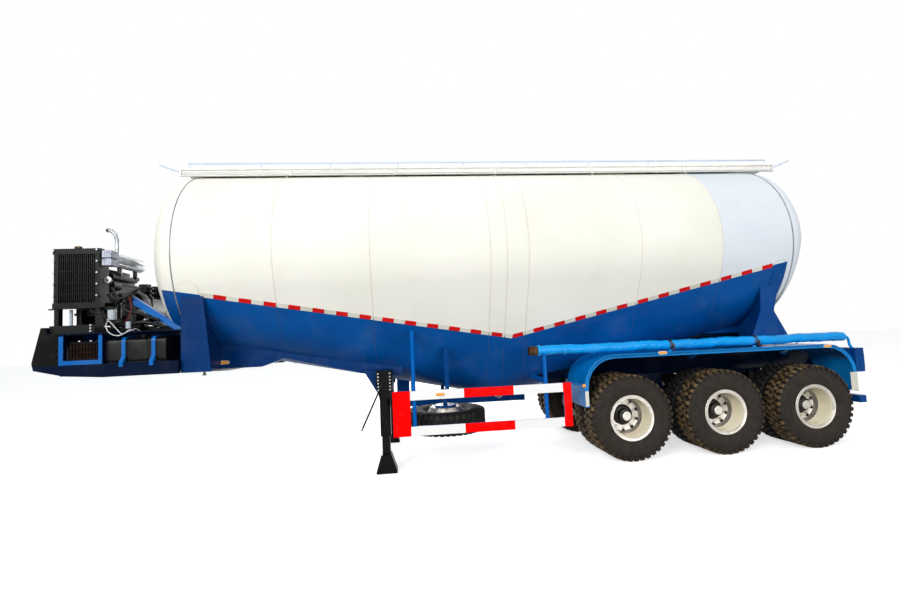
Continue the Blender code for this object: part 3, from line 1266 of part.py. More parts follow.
def build_ladder(white):
    x, low, top = LADDER_X, RAIL_BOTTOM + CROSS_MEMBER + SEAT, walk_top()
    radius = PLATE
    hook_x = WALK_REAR - radius - SEAT
    pieces = []
    for place in (-1, 1):
        y = LADDER_Y + place * LADDER_HALF_WIDTH
        pieces.append(tube_path([(x, y, low), (x, y, top - 0.10), (x + 0.08, y, top + 0.04),
                                 (hook_x, y, top + 0.06),
                                 (hook_x, y, top - WALK_LIP / 2)], radius, 6))
    for number in range(LADDER_RUNGS):
        z = low + LADDER_PITCH * (number + 1)
        pieces.append(rod((x, LADDER_Y - LADDER_HALF_WIDTH, z), (x, LADDER_Y + LADDER_HALF_WIDTH, z),
                          SHEET, 4))
    publish("rear_ladder", union(pieces), white)


def build_discharge(steel):
    x, z = TANK_LOW - 0.05, belly(TANK_LOW)
    pipe_z = z - OUTLET_DROP
    pipe = union([
        rod((x, 0, z + 0.05), (x, 0, z - 0.06), OUTLET_RADIUS * 1.8, 14),
        tube_path([(x, 0, z - 0.03), (x, 0, pipe_z + 0.04), (x, -0.06, pipe_z),
                   (x, -OUTLET_END_Y + SHEET, pipe_z)],
                  OUTLET_RADIUS, 12),
        rod((x, 2 * SHEET - OUTLET_END_Y, pipe_z), (x, -OUTLET_END_Y, pipe_z), OUTLET_FLANGE_RADIUS, 14),
    ])
    mouth = rod((x, -OUTLET_END_Y - SHEET, pipe_z), (x, -OUTLET_END_Y + 0.20, pipe_z),
                OUTLET_RADIUS - SHEET / 2, 12)
    publish("discharge_pipe", cut(pipe, [tank_envelope(), mouth]), steel)


def clear_scene():
    for item in list(bpy.context.scene.objects):
        bpy.data.objects.remove(item)


def main():
    clear_scene()
    white = make_material("cream_white_paint", "#EDEBE2", 0.25, 0.0)
    blue = make_material("deep_blue_paint", "#0A4A86", 0.3, 0.0)
    bright_blue = make_material("bright_blue_paint", "#1673C4", 0.3, 0.0)
    black = make_material("black_paint", "#141517", 0.45, 0.0)
    dark = make_material("dark_tank_paint", "#1E1F22", 0.4, 0.0)
    red = make_material("red_paint", "#E01212", 0.4, 0.0)
    rubber = make_material("tyre_rubber", "#1F1E1D", 0.85, 0.0)
    silver = make_material("silver_steel", "#C9CBCD", 0.3, 0.9)
    steel = make_material("bare_steel", "#6E6F72", 0.45, 0.9)
    build_tank(white)
    build_walkway(white)
    build_manholes(white, silver)
    build_front_frame(blue)
    build_coupler(steel)
    build_deck(blue)
    build_deck_boxes(black, dark, bright_blue)
    build_engine(black)
    build_fan(silver)
    build_radiator(black)
    build_muffler(silver)
    build_compressor(black)
    build_legs(black)
    build_guards(red)
    build_spare(rubber, silver, blue)
    build_axles(black)
    build_wheels(rubber, silver)
    build_bogie(blue)
    build_saddles(blue)
    build_fenders(bright_blue)
    build_hose(bright_blue)
    build_bumper(blue)
    build_lamp_panel(blue)
    build_ladder(white)
    build_discharge(steel)
    slide = -(DECK_NOSE + REAR_END) / 2
    for item in bpy.context.scene.objects:
        item.location.x += slide


main()
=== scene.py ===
# %% [markdown]
# Bulk powder tank semi-trailer: the looks
#
# The solid model of the trailer is already made and packed. This lesson dresses it: every surface gets
# the finish of the real one, and the pieces that are too fine for the solid model are built here.
# Everything is in metres. +X points to the towing end, +Y to the left side, and the ground is at Z 0.

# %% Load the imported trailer
import json
import math

import bmesh
import bpy
from mathutils import Matrix, Vector


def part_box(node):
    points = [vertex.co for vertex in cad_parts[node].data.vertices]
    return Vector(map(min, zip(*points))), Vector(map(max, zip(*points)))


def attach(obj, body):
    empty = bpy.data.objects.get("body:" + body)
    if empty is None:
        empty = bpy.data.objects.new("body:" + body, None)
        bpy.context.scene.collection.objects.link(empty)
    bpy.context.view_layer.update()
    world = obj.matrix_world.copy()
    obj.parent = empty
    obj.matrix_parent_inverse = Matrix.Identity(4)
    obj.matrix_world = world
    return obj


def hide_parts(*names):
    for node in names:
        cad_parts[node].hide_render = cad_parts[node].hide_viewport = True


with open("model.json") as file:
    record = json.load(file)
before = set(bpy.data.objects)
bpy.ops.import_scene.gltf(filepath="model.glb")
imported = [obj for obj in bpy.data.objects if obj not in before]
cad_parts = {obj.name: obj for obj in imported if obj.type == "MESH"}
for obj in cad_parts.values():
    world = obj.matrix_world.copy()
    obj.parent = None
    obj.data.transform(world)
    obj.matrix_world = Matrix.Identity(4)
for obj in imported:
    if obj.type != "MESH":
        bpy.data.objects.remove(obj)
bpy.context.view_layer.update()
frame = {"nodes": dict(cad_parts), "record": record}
nodes = frame["nodes"]
bodies = frame["record"]["behaviour"]["bodies"]


def middle(node):
    low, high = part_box(node)
    return (low + high) / 2


def body_of(node):
    return next(body for body, members in bodies.items() if node in members)


AXLES = [middle(f"wheel_{number}_left").x for number in (1, 2, 3)]
FRONT_AXLE = AXLES[0]

# %% [markdown]
# Camera
#
# The photo was taken with a wide lens a few metres from the trailer's left side, near its middle, and
# held slightly tilted. The numbers below come from lining up wheels, tank ends and guard with the photo.
# The trailer's own front axle is the reference point, so the camera follows it if the model is moved.

# %% Camera
CAMERA_FROM_AXLE = Vector((2.888, 6.930, 1.755))
CAMERA_YAW = math.radians(5.590)
CAMERA_PITCH = math.radians(3.621)
CAMERA_ROLL = math.radians(-2.509)
LENS_MM = 18.0
SENSOR_MM = 36.0

level_view = Vector((-math.sin(CAMERA_YAW), -math.cos(CAMERA_YAW), 0))
level_right = Vector((-math.cos(CAMERA_YAW), math.sin(CAMERA_YAW), 0))
view = level_view * math.cos(CAMERA_PITCH) + Vector((0, 0, 1)) * math.sin(CAMERA_PITCH)
above = Vector((0, 0, 1)) * math.cos(CAMERA_PITCH) - level_view * math.sin(CAMERA_PITCH)
right = level_right * math.cos(CAMERA_ROLL) + above * math.sin(CAMERA_ROLL)
up = above * math.cos(CAMERA_ROLL) - level_right * math.sin(CAMERA_ROLL)

camera_data = bpy.data.cameras.new("photo_camera")
camera_data.lens = LENS_MM
camera_data.sensor_width = SENSOR_MM
camera = bpy.data.objects.new("photo_camera", camera_data)
bpy.context.scene.collection.objects.link(camera)
camera.matrix_world = Matrix.Translation(CAMERA_FROM_AXLE + Vector((FRONT_AXLE, 0, 0))) @ Matrix(
    (right, up, -view)).transposed().to_4x4()
bpy.context.scene.camera = camera
print("camera at", tuple(round(value, 3) for value in camera.matrix_world.translation))

# %% [markdown]
# Helpers for node trees
#
# Blender's shader works with linear light, while a paint chart gives sRGB hex codes, so one function
# turns the one into the other. A second adds a node, sets it, links it and gives back one of its
# outputs, so that a whole chain of nodes reads from the inside out. It serves materials and geometry.


# %% Node helpers
def linear(code):
    """Linear RGBA from an sRGB hex code."""
    channels = [int(code[i:i + 2], 16) / 255 for i in (1, 3, 5)]
    return [c / 12.92 if c <= 0.04045 else ((c + 0.055) / 1.055) ** 2.4 for c in channels] + [1.0]


def add(tree, kind, inputs=None, output=0, **settings):
    """Add a node, apply its settings, fill or link its inputs, and return one output."""
    node = tree.nodes.new(kind)
    for name, value in settings.items():
        setattr(node, name, value)
    for socket, value in (inputs or {}).items():
        if isinstance(value, bpy.types.NodeSocket):
            tree.links.new(value, node.inputs[socket])
        else:
            node.inputs[socket].default_value = value
    return node.outputs[output] if len(node.outputs) else node


def blank(name):
    """New material with only its output and a Principled shader."""
    material = bpy.data.materials.new(name)
    material.use_nodes = True
    tree = material.node_tree
    return material, tree, tree.nodes["Principled BSDF"]


def patches(tree, size, low=0.35, high=0.65, detail=5.0):
    """Mask from 0 to 1 in soft patches about a size across, in metres, fixed to the piece."""
    place = add(tree, "ShaderNodeTexCoord", output="Object")
    cloud = add(tree, "ShaderNodeTexNoise", {"Vector": place, "Scale": 1.0 / size, "Detail": detail})
    return add(tree, "ShaderNodeMapRange", {0: cloud, 1: low, 2: high})


print("mid grey in linear light:", round(linear("#808080")[0], 3))

# %% [markdown]
# Enamel
#
# The chassis, hose, guards and walkway are mild steel, sprayed with gloss enamel over primer. Enamel is
# a dielectric with an IOR of about 1.5 and a smooth skin, so it mirrors the sky in a soft line along
# each fold. Road dust dulls it in patches, and stones chip it down to rust, which the masks below give.


# %% Enamel
def enamel(name, paint, shade, dust="#8D8675", dusty=0.25, chipped=0.0, gloss=0.25, sheen=0.3):
    """Sprayed enamel: cloudy paint, road dust in patches, and stone chips down to rusty steel."""
    material, tree, shader = blank(name)
    colour = add(tree, "ShaderNodeMix", {0: patches(tree, 0.60), 6: linear(paint), 7: linear(shade)}, 2,
                 data_type="RGBA")
    dirt = patches(tree, 0.25, 0.50, 0.78, 8.0)
    share = add(tree, "ShaderNodeMath", {0: dirt, 1: dusty}, operation="MULTIPLY")
    colour = add(tree, "ShaderNodeMix", {0: share, 6: colour, 7: linear(dust)}, 2, data_type="RGBA")
    if chipped:
        chip = patches(tree, 0.018, 0.71 - chipped, 0.73 - chipped, 3.0)
        colour = add(tree, "ShaderNodeMix", {0: chip, 6: colour, 7: linear("#6E4A2E")}, 2, data_type="RGBA")
    tree.links.new(colour, shader.inputs["Base Color"])
    rough = add(tree, "ShaderNodeMapRange", {0: dirt, 3: gloss, 4: gloss + 0.25})
    tree.links.new(rough, shader.inputs["Roughness"])
    shader.inputs["IOR"].default_value = 1.5
    shader.inputs["Specular IOR Level"].default_value = sheen
    # Orange peel of a sprayed coat is about 3 mm across; 12 mm is the finest that shows in the render.
    peel = patches(tree, 0.012, 0.0, 1.0, 2.0)
    relief = add(tree, "ShaderNodeBump", {"Height": peel, "Strength": 0.03, "Distance": 0.001})
    tree.links.new(relief, shader.inputs["Normal"])
    return material


# The deck's skirt is a navy so dark that it also stands as painted shade, the bogie is painted near black
# as painted shade under some dust, and the chassis is a deep clear blue.
navy_enamel = enamel("navy_skirt_enamel", "#000D26", "#00122F", dusty=0.03, sheen=0.08)
night_enamel = enamel("shaded_bogie_enamel", "#000A1C", "#001026", dust="#2A2620", dusty=0.2, sheen=0.1)
blue_enamel = enamel("blue_chassis_enamel", "#003B7A", "#00468A", dusty=0.05, sheen=0.12)
# The parts that were sprayed last, straps, fenders and hose, are a brighter blue with small chips.
strap_enamel = enamel("mid_blue_enamel", "#005AA6", "#0066B6", dusty=0.06, chipped=0.01, sheen=0.2)
sky_enamel = enamel("sky_blue_enamel", "#0078C4", "#0086D2", dusty=0.06, chipped=0.012, sheen=0.2)
hose_enamel = enamel("painted_hose_skin", "#0090DC", "#009EEC", dusty=0.10, chipped=0.02, sheen=0.2)
rail_enamel = enamel("pale_blue_rail_enamel", "#D2DDEE", "#C4D2E8", dusty=0.05)
# The frame below the tank is painted a darker, duller blue than the tank as painted shade, and a filter
# can is pale grey under road film.
frame_enamel = enamel("shaded_frame_enamel", "#002C60", "#00346C", dusty=0.05, sheen=0.1)
filter_enamel = enamel("pale_grey_filter_enamel", "#B9C2C8", "#A7B1B8", dusty=0.15)
cream_enamel = enamel("cream_walkway_enamel", "#F9F8F2", "#F1F0EA", dust="#C4BCAA", dusty=0.12)
# The blacks differ in gloss: legs glossy, engine satin under oily dust, hubs matt with brake dust.
black_enamel = enamel("black_leg_enamel", "#040404", "#090909", dust="#3A352C", dusty=0.12, sheen=0.12)
engine_enamel = enamel("black_engine_enamel", "#040506", "#0B0C0D", dust="#332F28", dusty=0.18,
                       gloss=0.35, sheen=0.2)
hub_enamel = enamel("black_hub_enamel", "#060606", "#0E0D0C", dust="#4B4237", dusty=0.3, gloss=0.4)
# Reflective sheet and tape are even and clean, and a flat grey line is painted shade in the gap of each
# head seam and inside the walkway's channel.
red_sheet = enamel("red_reflective_sheet", "#DC0A0A", "#C80606", dusty=0.06, gloss=0.25, sheen=0.15)
white_sheet = enamel("white_reflective_sheet", "#E4E2D6", "#CFCCBE", dusty=0.15, gloss=0.25)
grey_shade_line = enamel("grey_seam_sealer", "#757C80", "#90979A", dusty=0.2)
print("enamels:", len(bpy.data.materials))

# %% [markdown]
# Bare metals, rubber and lamp lenses
#
# A metal's colour is its reflection, so each has metallic 1 and the default IOR, and only roughness
# tells wheel silver from worn steel. Tyre rubber is dark and matt, with brown dust kept in its tread:
# a value stored on the tyre's mesh says how close each point is to the road face.


# %% Metals, lenses and rubber
def steel(name, bright, dull, roughness, grime="#5A4A38", dirty=0.2):
    """Metal with cloudy polish and some grime in patches."""
    material, tree, shader = blank(name)
    colour = add(tree, "ShaderNodeMix", {0: patches(tree, 0.20), 6: linear(bright), 7: linear(dull)}, 2,
                 data_type="RGBA")
    dirt = patches(tree, 0.05, 0.52, 0.75, 6.0)
    share = add(tree, "ShaderNodeMath", {0: dirt, 1: dirty}, operation="MULTIPLY")
    colour = add(tree, "ShaderNodeMix", {0: share, 6: colour, 7: linear(grime)}, 2, data_type="RGBA")
    tree.links.new(colour, shader.inputs["Base Color"])
    rough = add(tree, "ShaderNodeMapRange", {0: dirt, 3: roughness, 4: roughness + 0.25})
    tree.links.new(rough, shader.inputs["Roughness"])
    shader.inputs["Metallic"].default_value = 1.0
    return material


def acrylic(name, code):
    """Moulded acrylic lamp lens, ribbed inside, so it looks a little milky."""
    material, tree, shader = blank(name)
    cloud = patches(tree, 0.02)
    colour = add(tree, "ShaderNodeMix", {0: cloud, 6: linear(code), 7: linear("#FFB84E")}, 2,
                 data_type="RGBA")
    tree.links.new(colour, shader.inputs["Base Color"])
    rough = add(tree, "ShaderNodeMapRange", {0: cloud, 3: 0.10, 4: 0.22})
    tree.links.new(rough, shader.inputs["Roughness"])
    shader.inputs["Specular IOR Level"].default_value = 0.25
    return material


def rubber(name, dust):
    """Carbon-black rubber, with road dust that thickens towards the tread."""
    material, tree, shader = blank(name)
    tread = add(tree, "ShaderNodeAttribute", output="Fac", attribute_name="tread")
    cloud = patches(tree, 0.07, 0.35, 0.70, 8.0)
    share = add(tree, "ShaderNodeMath", {0: tread, 1: cloud, 2: 0.02}, operation="MULTIPLY_ADD")
    black = add(tree, "ShaderNodeMix",
                {0: patches(tree, 0.25), 6: linear("#08080A"), 7: linear("#0F0E10")}, 2,
                data_type="RGBA")
    colour = add(tree, "ShaderNodeMix", {0: share, 6: black, 7: linear(dust)}, 2, data_type="RGBA")
    tree.links.new(colour, shader.inputs["Base Color"])
    shader.inputs["Roughness"].default_value = 0.7
    shader.inputs["Specular IOR Level"].default_value = 0.25
    grain = patches(tree, 0.006, 0.0, 1.0, 3.0)
    relief = add(tree, "ShaderNodeBump", {"Height": grain, "Strength": 0.15, "Distance": 0.001})
    tree.links.new(relief, shader.inputs["Normal"])
    return material


# Dusty rubber shows its blocks in pale brown; rubber out of the spray stays nearly black, and the same
# near-black rubber is painted shade on the inner tyres behind the first axle.
tyre_rubber = rubber("dusty_tyre_rubber", "#9A7F58")
clean_and_shaded_rubber = rubber("clean_tyre_rubber", "#2C2823")
# Wheel silver gives soft warm highlights, and the enamelled barrel behind it looks creamy and matt.
wheel_silver = steel("silver_wheel_paint", "#D6D0C8", "#BDB7AE", 0.40, grime="#857A62", dirty=0.3)
barrel_enamel = enamel("cream_rim_enamel", "#FFF6DC", "#F4EACB", dust="#B09A70", dusty=0.20)
# Bare steel turns brown and scatters light; zinc and aluminium keep a sharper, paler shine.
rusty_steel = steel("rusty_steel", "#5C4C3C", "#4A3020", 0.60, grime="#2A2018", dirty=0.6)
worn_steel = steel("worn_steel", "#8B8C8E", "#6D6A66", 0.38)
silencer_steel = steel("aluminised_steel", "#BBBEC2", "#9A9DA2", 0.50, grime="#7A746A", dirty=0.25)
inlet_steel = steel("cast_aluminium", "#9EA2AE", "#868A96", 0.50, dirty=0.15)
burnt_steel = steel("burnt_steel", "#3C2A20", "#281A12", 0.70, grime="#1A1410")
zinc = steel("zinc_plated_steel", "#C9CACB", "#AEB0B2", 0.25)
amber_lens = acrylic("amber_acrylic", "#F58A1A")
print("materials so far:", len(bpy.data.materials))

# %% [markdown]
# Making and keeping a piece
#
# Each piece is one mesh object at the origin, with its place in its points. Short functions cover the
# shapes that come back: a skin over rings, a profile turned round an axis, a tube along points and a
# box. The last ones make a finished object of a mesh, and let it ride on a body of the model.


# %% Shapes that come back
def skin(mesh, rings, closed=True, caps=True):
    """Faces between rings of equally many points, with the two end rings filled."""
    loops = [[mesh.verts.new(point) for point in ring] for ring in rings]
    count = len(loops[0])
    for near, far in zip(loops, loops[1:]):
        for i in range(count if closed else count - 1):
            j = (i + 1) % count
            mesh.faces.new((near[i], near[j], far[j], far[i]))
    if caps:
        mesh.faces.new(loops[0][::-1])
        mesh.faces.new(loops[-1])


def turned(mesh, profile, centre, axis, steps):
    """Closed body turned from (radius, offset) pairs that run once round its section."""
    turn = Vector((0, 0, 1)).rotation_difference(Vector(axis)).to_matrix()
    rings = []
    for step in range(steps + 1):
        angle = math.tau * (step % steps) / steps
        spoke = Vector((math.cos(angle), math.sin(angle), 0))
        rings.append([Vector(centre) + turn @ (spoke * radius + Vector((0, 0, offset)))
                      for radius, offset in profile])
    skin(mesh, rings, caps=False)


def tube(mesh, points, radius, sides=10):
    """Round bar along points, closed at both ends."""
    points = [Vector(point) for point in points]
    side = (points[1] - points[0]).orthogonal().normalized()
    rings = []
    for i, point in enumerate(points):
        along = (points[min(i + 1, len(points) - 1)] - points[max(i - 1, 0)]).normalized()
        side = (side - along * side.dot(along)).normalized()
        other = along.cross(side)
        rings.append([point + (side * math.cos(a) + other * math.sin(a)) * radius
                      for a in (math.tau * k / sides for k in range(sides))])
    skin(mesh, rings)


def brick(mesh, low, high):
    """Box between two corners."""
    outline = [(low[0], low[2]), (high[0], low[2]), (high[0], high[2]), (low[0], high[2])]
    skin(mesh, [[(x, y, z) for x, z in outline] for y in (low[1], high[1])])


def smooth_line(points, steps=6):
    """Points on a smooth curve through the given ones."""
    points = [Vector(point) for point in points]
    ends = [points[0] * 2 - points[1]] + points + [points[-1] * 2 - points[-2]]
    line = []
    for a, b, c, d in zip(ends, ends[1:], ends[2:], ends[3:]):
        for t in (step / steps for step in range(steps)):
            line.append(0.5 * (2 * b + (c - a) * t + (2 * a - 5 * b + 4 * c - d) * t ** 2
                               + (3 * b - a - 3 * c + d) * t ** 3))
    return line + [points[-1]]


print("points on a smooth line through three:", len(smooth_line([(0, 0, 0), (1, 0, 0), (1, 1, 0)])))


# %% From a mesh to a finished object
def to_object(name, mesh, *finishes, crease=40):
    """Object from a bmesh, facing out and shaded smooth below the crease angle."""
    bmesh.ops.remove_doubles(mesh, verts=mesh.verts, dist=0.00001)
    bmesh.ops.dissolve_degenerate(mesh, dist=0.00001, edges=mesh.edges)
    bmesh.ops.recalc_face_normals(mesh, faces=mesh.faces)
    data = bpy.data.meshes.new(name)
    mesh.to_mesh(data)
    mesh.free()
    data.shade_smooth()
    data.set_sharp_from_angle(angle=math.radians(crease))
    for finish in finishes:
        data.materials.append(finish)
    piece = bpy.data.objects.new(name, data)
    bpy.context.scene.collection.objects.link(piece)
    return piece


def applied(piece):
    """Replace the piece's mesh by what its modifiers make of it."""
    bpy.context.view_layer.update()
    result = bpy.data.meshes.new_from_object(piece.evaluated_get(bpy.context.evaluated_depsgraph_get()))
    piece.modifiers.clear()
    piece.data = result
    return piece


def drop(piece):
    """Remove an object that was only a step on the way."""
    bpy.data.objects.remove(piece)


# %% Gathering pieces and settling them on a body
def gathered(name, parts, crease=35):
    """One object from (mesh data, place) pairs, each with its own finishes."""
    whole = bmesh.new()
    finishes = []
    for data, place in parts:
        start = len(whole.faces)
        copy = data.copy()
        copy.transform(place)
        whole.from_mesh(copy)
        whole.faces.ensure_lookup_table()
        for face in whole.faces[start:]:
            finish = data.materials[face.material_index]
            if finish not in finishes:
                finishes.append(finish)
            face.material_index = finishes.index(finish)
    data = bpy.data.meshes.new(name)
    whole.to_mesh(data)
    whole.free()
    data.shade_smooth()
    data.set_sharp_from_angle(angle=math.radians(crease))
    for finish in finishes:
        data.materials.append(finish)
    piece = bpy.data.objects.new(name, data)
    bpy.context.scene.collection.objects.link(piece)
    return piece


def settle(piece, body="trailer", stands_for=()):
    """Let a finished piece ride on a body, and stand for the nodes that it replaces."""
    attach(piece, body)
    if stands_for:
        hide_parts(*stands_for)
    return piece


# %% [markdown]
# Pieces that repeat
#
# Tread blocks, nuts and bolts sit round an axis at an even pitch, and tape and fins follow a line. Two
# trees of Geometry Nodes place them. Each takes the piece to repeat, how many, and its finish. The
# instances are made real at the end, so that each result is one plain mesh.


# %% Geometry Nodes trees
def new_tree(name, sockets):
    """Empty geometry tree with named inputs."""
    tree = bpy.data.node_groups.new(name, "GeometryNodeTree")
    for label, kind in [("Geometry", "NodeSocketGeometry")] + sockets:
        tree.interface.new_socket(name=label, in_out="INPUT", socket_type=kind)
    tree.interface.new_socket(name="Geometry", in_out="OUTPUT", socket_type="NodeSocketGeometry")
    return tree, tree.nodes.new("NodeGroupInput")


def close_tree(tree, start, instances):
    """Make the instances real, give them their finish, and join them to what came in."""
    real = add(tree, "GeometryNodeRealizeInstances", {0: instances})
    painted = add(tree, "GeometryNodeSetMaterial", {"Geometry": real, "Material": start.outputs["Finish"]})
    joined = tree.nodes.new("GeometryNodeJoinGeometry")
    tree.links.new(painted, joined.inputs[0])
    tree.links.new(start.outputs["Geometry"], joined.inputs[0])
    add(tree, "NodeGroupOutput", {0: joined.outputs[0]})


ring_tree, start = new_tree("pieces_round_an_axis", [
    ("Piece", "NodeSocketObject"), ("Count", "NodeSocketInt"), ("Start turn", "NodeSocketFloat"),
    ("Finish", "NodeSocketMaterial")])
# Every point lies on the axis, because the piece is already modelled at its radius.
points = add(ring_tree, "GeometryNodePoints", {"Count": start.outputs["Count"]})
pitch = add(ring_tree, "ShaderNodeMath", {0: math.tau, 1: start.outputs["Count"]}, operation="DIVIDE")
step = add(ring_tree, "ShaderNodeMath", {0: add(ring_tree, "GeometryNodeInputIndex"),
                                         1: start.outputs["Start turn"]}, operation="ADD")
angle = add(ring_tree, "ShaderNodeMath", {0: pitch, 1: step}, operation="MULTIPLY")
turn = add(ring_tree, "ShaderNodeCombineXYZ", {"Y": angle})
shape = add(ring_tree, "GeometryNodeObjectInfo", {"Object": start.outputs["Piece"]}, "Geometry")
close_tree(ring_tree, start, add(ring_tree, "GeometryNodeInstanceOnPoints", {
    "Points": points, "Instance": shape, "Rotation": turn}))

row_tree, start = new_tree("pieces_in_a_row", [
    ("Piece", "NodeSocketObject"), ("Count", "NodeSocketInt"), ("Step", "NodeSocketVector"),
    ("Finish", "NodeSocketMaterial")])
line = add(row_tree, "GeometryNodeMeshLine",
           {"Count": start.outputs["Count"], "Offset": start.outputs["Step"]})
shape = add(row_tree, "GeometryNodeObjectInfo", {"Object": start.outputs["Piece"]}, "Geometry")
copies = add(row_tree, "GeometryNodeInstanceOnPoints", {"Points": line, "Instance": shape})
close_tree(row_tree, start, copies)


def repeat(carrier, tree, **values):
    """Run a tree on an object with its named inputs, and keep the result as a plain mesh."""
    modifier = carrier.modifiers.new(tree.name, "NODES")
    modifier.node_group = tree
    labels = {item.name.replace(" ", "_").lower(): item.identifier
              for item in tree.interface.items_tree if item.in_out == "INPUT"}
    for name, value in values.items():
        modifier[labels[name]] = value
    return applied(carrier)


print("trees:", [tree.name for tree in bpy.data.node_groups])

# %% [markdown]
# Folded and welded steel
#
# The frames, deck and guards are cut plate, welded and painted. Their shapes are right in the solid
# model, but real plate has soft edges that catch the light. So each of these nodes is copied, its
# triangles are merged back into flat faces, its edges get a small bevel, and the copy stands for it.


# %% Softened copies of the steelwork
def dress(node, finish, edge=0.003, crease=40):
    """Copy of a node with soft edges, in a finish of its own."""
    mesh = bmesh.new()
    mesh.from_mesh(nodes[node].data)
    bmesh.ops.remove_doubles(mesh, verts=mesh.verts, dist=0.00005)
    bmesh.ops.dissolve_limit(mesh, angle_limit=math.radians(1.0), verts=mesh.verts, edges=mesh.edges)
    piece = to_object(f"{node}_dressed", mesh, finish, crease=crease)
    if edge:
        bevel = piece.modifiers.new("soft edges", "BEVEL")
        bevel.width = edge
        bevel.segments = 2
        bevel.angle_limit = math.radians(crease)
        bevel.harden_normals = True
        applied(piece)
    return settle(piece, body_of(node), stands_for=[node])


# %% Which node gets which finish
DRESSED = (  # node, finish, edge radius, crease angle
    ("walkway", cream_enamel, 0.0, 50),
    ("manhole_neck_1", cream_enamel, 0.0, 35),
    ("manhole_neck_2", cream_enamel, 0.0, 35),
    ("manhole_lid_1", wheel_silver, 0.0, 35),
    ("manhole_lid_2", wheel_silver, 0.0, 35),
    ("front_frame", frame_enamel, 0.003, 40),
    ("coupler_plate", worn_steel, 0.0, 35),
    ("engine_deck", navy_enamel, 0.003, 40),
    ("battery_box", black_enamel, 0.003, 40),
    ("engine", engine_enamel, 0.002, 46),
    ("radiator", engine_enamel, 0.002, 40),
    ("radiator_fan", wheel_silver, 0.0, 40),
    ("air_compressor", engine_enamel, 0.0, 50),
    ("muffler", silencer_steel, 0.0, 50),
    ("landing_leg_left", black_enamel, 0.002, 46),
    ("landing_leg_right", black_enamel, 0.002, 46),
    ("leg_cross_shaft", worn_steel, 0.0, 50),
    ("spare_carrier", blue_enamel, 0.0, 50),
    ("axle_1", black_enamel, 0.0, 35),
    ("axle_2", black_enamel, 0.0, 35),
    ("axle_3", black_enamel, 0.0, 35),
    ("bogie_frame", night_enamel, 0.0, 40),
    ("rear_saddle_left", blue_enamel, 0.003, 40),
    ("rear_saddle_right", blue_enamel, 0.003, 40),
    ("fender_left", sky_enamel, 0.0, 40),
    ("fender_right", sky_enamel, 0.0, 40),
    ("rear_bumper", blue_enamel, 0.003, 40),
    ("rear_lamp_panel", blue_enamel, 0.0, 40),
    ("rear_ladder", cream_enamel, 0.0, 70),
    ("discharge_pipe", worn_steel, 0.0, 40),
)
print("nodes to dress:", len(DRESSED))

# %% Dress the steelwork
BRACE_POST = FRONT_AXLE + 6.355
BRACE_END = 5.0
RAIL_HEIGHT = 0.100
for node, finish, edge, crease in DRESSED:
    piece = dress(node, finish, edge, crease)
    print(f"{piece.name}: {len(piece.data.polygons)} faces")
    if node == "engine_deck":
        # The braces to the tank are a brighter blue than the skirt; their posts are black.
        piece.data.materials.append(strap_enamel)
        piece.data.materials.append(engine_enamel)
        deck_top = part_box("engine")[0].z
        cut = bmesh.new()
        cut.from_mesh(piece.data)
        bmesh.ops.bisect_plane(cut, geom=cut.verts[:] + cut.edges[:] + cut.faces[:],
                               plane_co=(BRACE_POST, 0, 0), plane_no=(1, 0, 0))
        cut.to_mesh(piece.data)
        cut.free()
        for face in piece.data.polygons:
            if face.center.z > deck_top + 0.02 and face.center.x < BRACE_END:
                face.material_index = 1 if face.center.x < BRACE_POST else 2
    if node == "walkway":
        # The hand rails above the walkway are thin tube in a pale blue.
        piece.data.materials.append(rail_enamel)
        for face in piece.data.polygons:
            if face.center.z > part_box(node)[1].z - RAIL_HEIGHT:
                face.material_index = 1

# %% [markdown]
# The tank
#
# The tank is rolled plate, round at its ends and deeper towards the middle, so that powder slides down
# to one outlet. A section is a wide arc above and a smaller arc below, joined where they touch. The
# sections are worked out again here with many more points than the solid model has, and every size is
# read from the solid model's own boxes. Two values are read off the photo: how much deeper the belly
# hangs, and how much flatter the rear head is below its middle.

# %% Sizes of the tank
front_low, front_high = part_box("tank_front_barrel")
rear_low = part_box("tank_rear_barrel")[0]
head_low, head_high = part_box("tank_front_head")
TANK_RADIUS = (head_high.z - head_low.z) / 2
TANK_CENTRE_Z = (head_high.z + head_low.z) / 2
TANK_FRONT = front_high.x
TANK_LOW = front_low.x
TANK_REAR = rear_low.x
HEAD_DEPTH = head_high.x - head_low.x
HEAD_FLANGE = 0.05
HEAD_STEPS = 14
BELLY_SAG = 0.150
DEEPEST = TANK_CENTRE_Z - front_low.z - TANK_RADIUS + BELLY_SAG
REAR_TUCK = 0.80
LOWER_TAPER = 0.75
TANGENT = -math.asin(LOWER_TAPER / (1 + LOWER_TAPER))
HALF_STEPS = 48
BARREL_STEP = 0.08
print("tank from", round(TANK_REAR, 2), "to", round(TANK_FRONT, 2), "radius", round(TANK_RADIUS, 3))


# %% Sections of barrel and heads
def section_point(x, turn, grow=0.0):
    """Point of the skin on the left side. The turn runs from 0 at the crown to 1 at the bottom."""
    end = TANK_FRONT if x > TANK_LOW else TANK_REAR
    extra = DEEPEST * max((end - x) / (end - TANK_LOW), 0.0)
    angle = math.pi * (0.5 - turn)
    radius, centre = TANK_RADIUS, TANK_CENTRE_Z
    if angle < TANGENT:
        radius = TANK_RADIUS - LOWER_TAPER * extra
        centre = TANK_CENTRE_Z - extra - TANK_RADIUS + radius
    return Vector((x, (radius + grow) * math.cos(angle), centre + (radius + grow) * math.sin(angle)))


def tank_section(x, grow=0.0, share=1.0):
    """Closed ring round the tank. A share below 1 draws it towards the axis, for the heads."""
    half = [section_point(x, step / HALF_STEPS, grow) for step in range(HALF_STEPS + 1)]
    points = half + [Vector((p.x, -p.y, p.z)) for p in half[-2:0:-1]]
    axis = Vector((x, 0, TANK_CENTRE_Z))
    return [axis + (point - axis) * share for point in points]


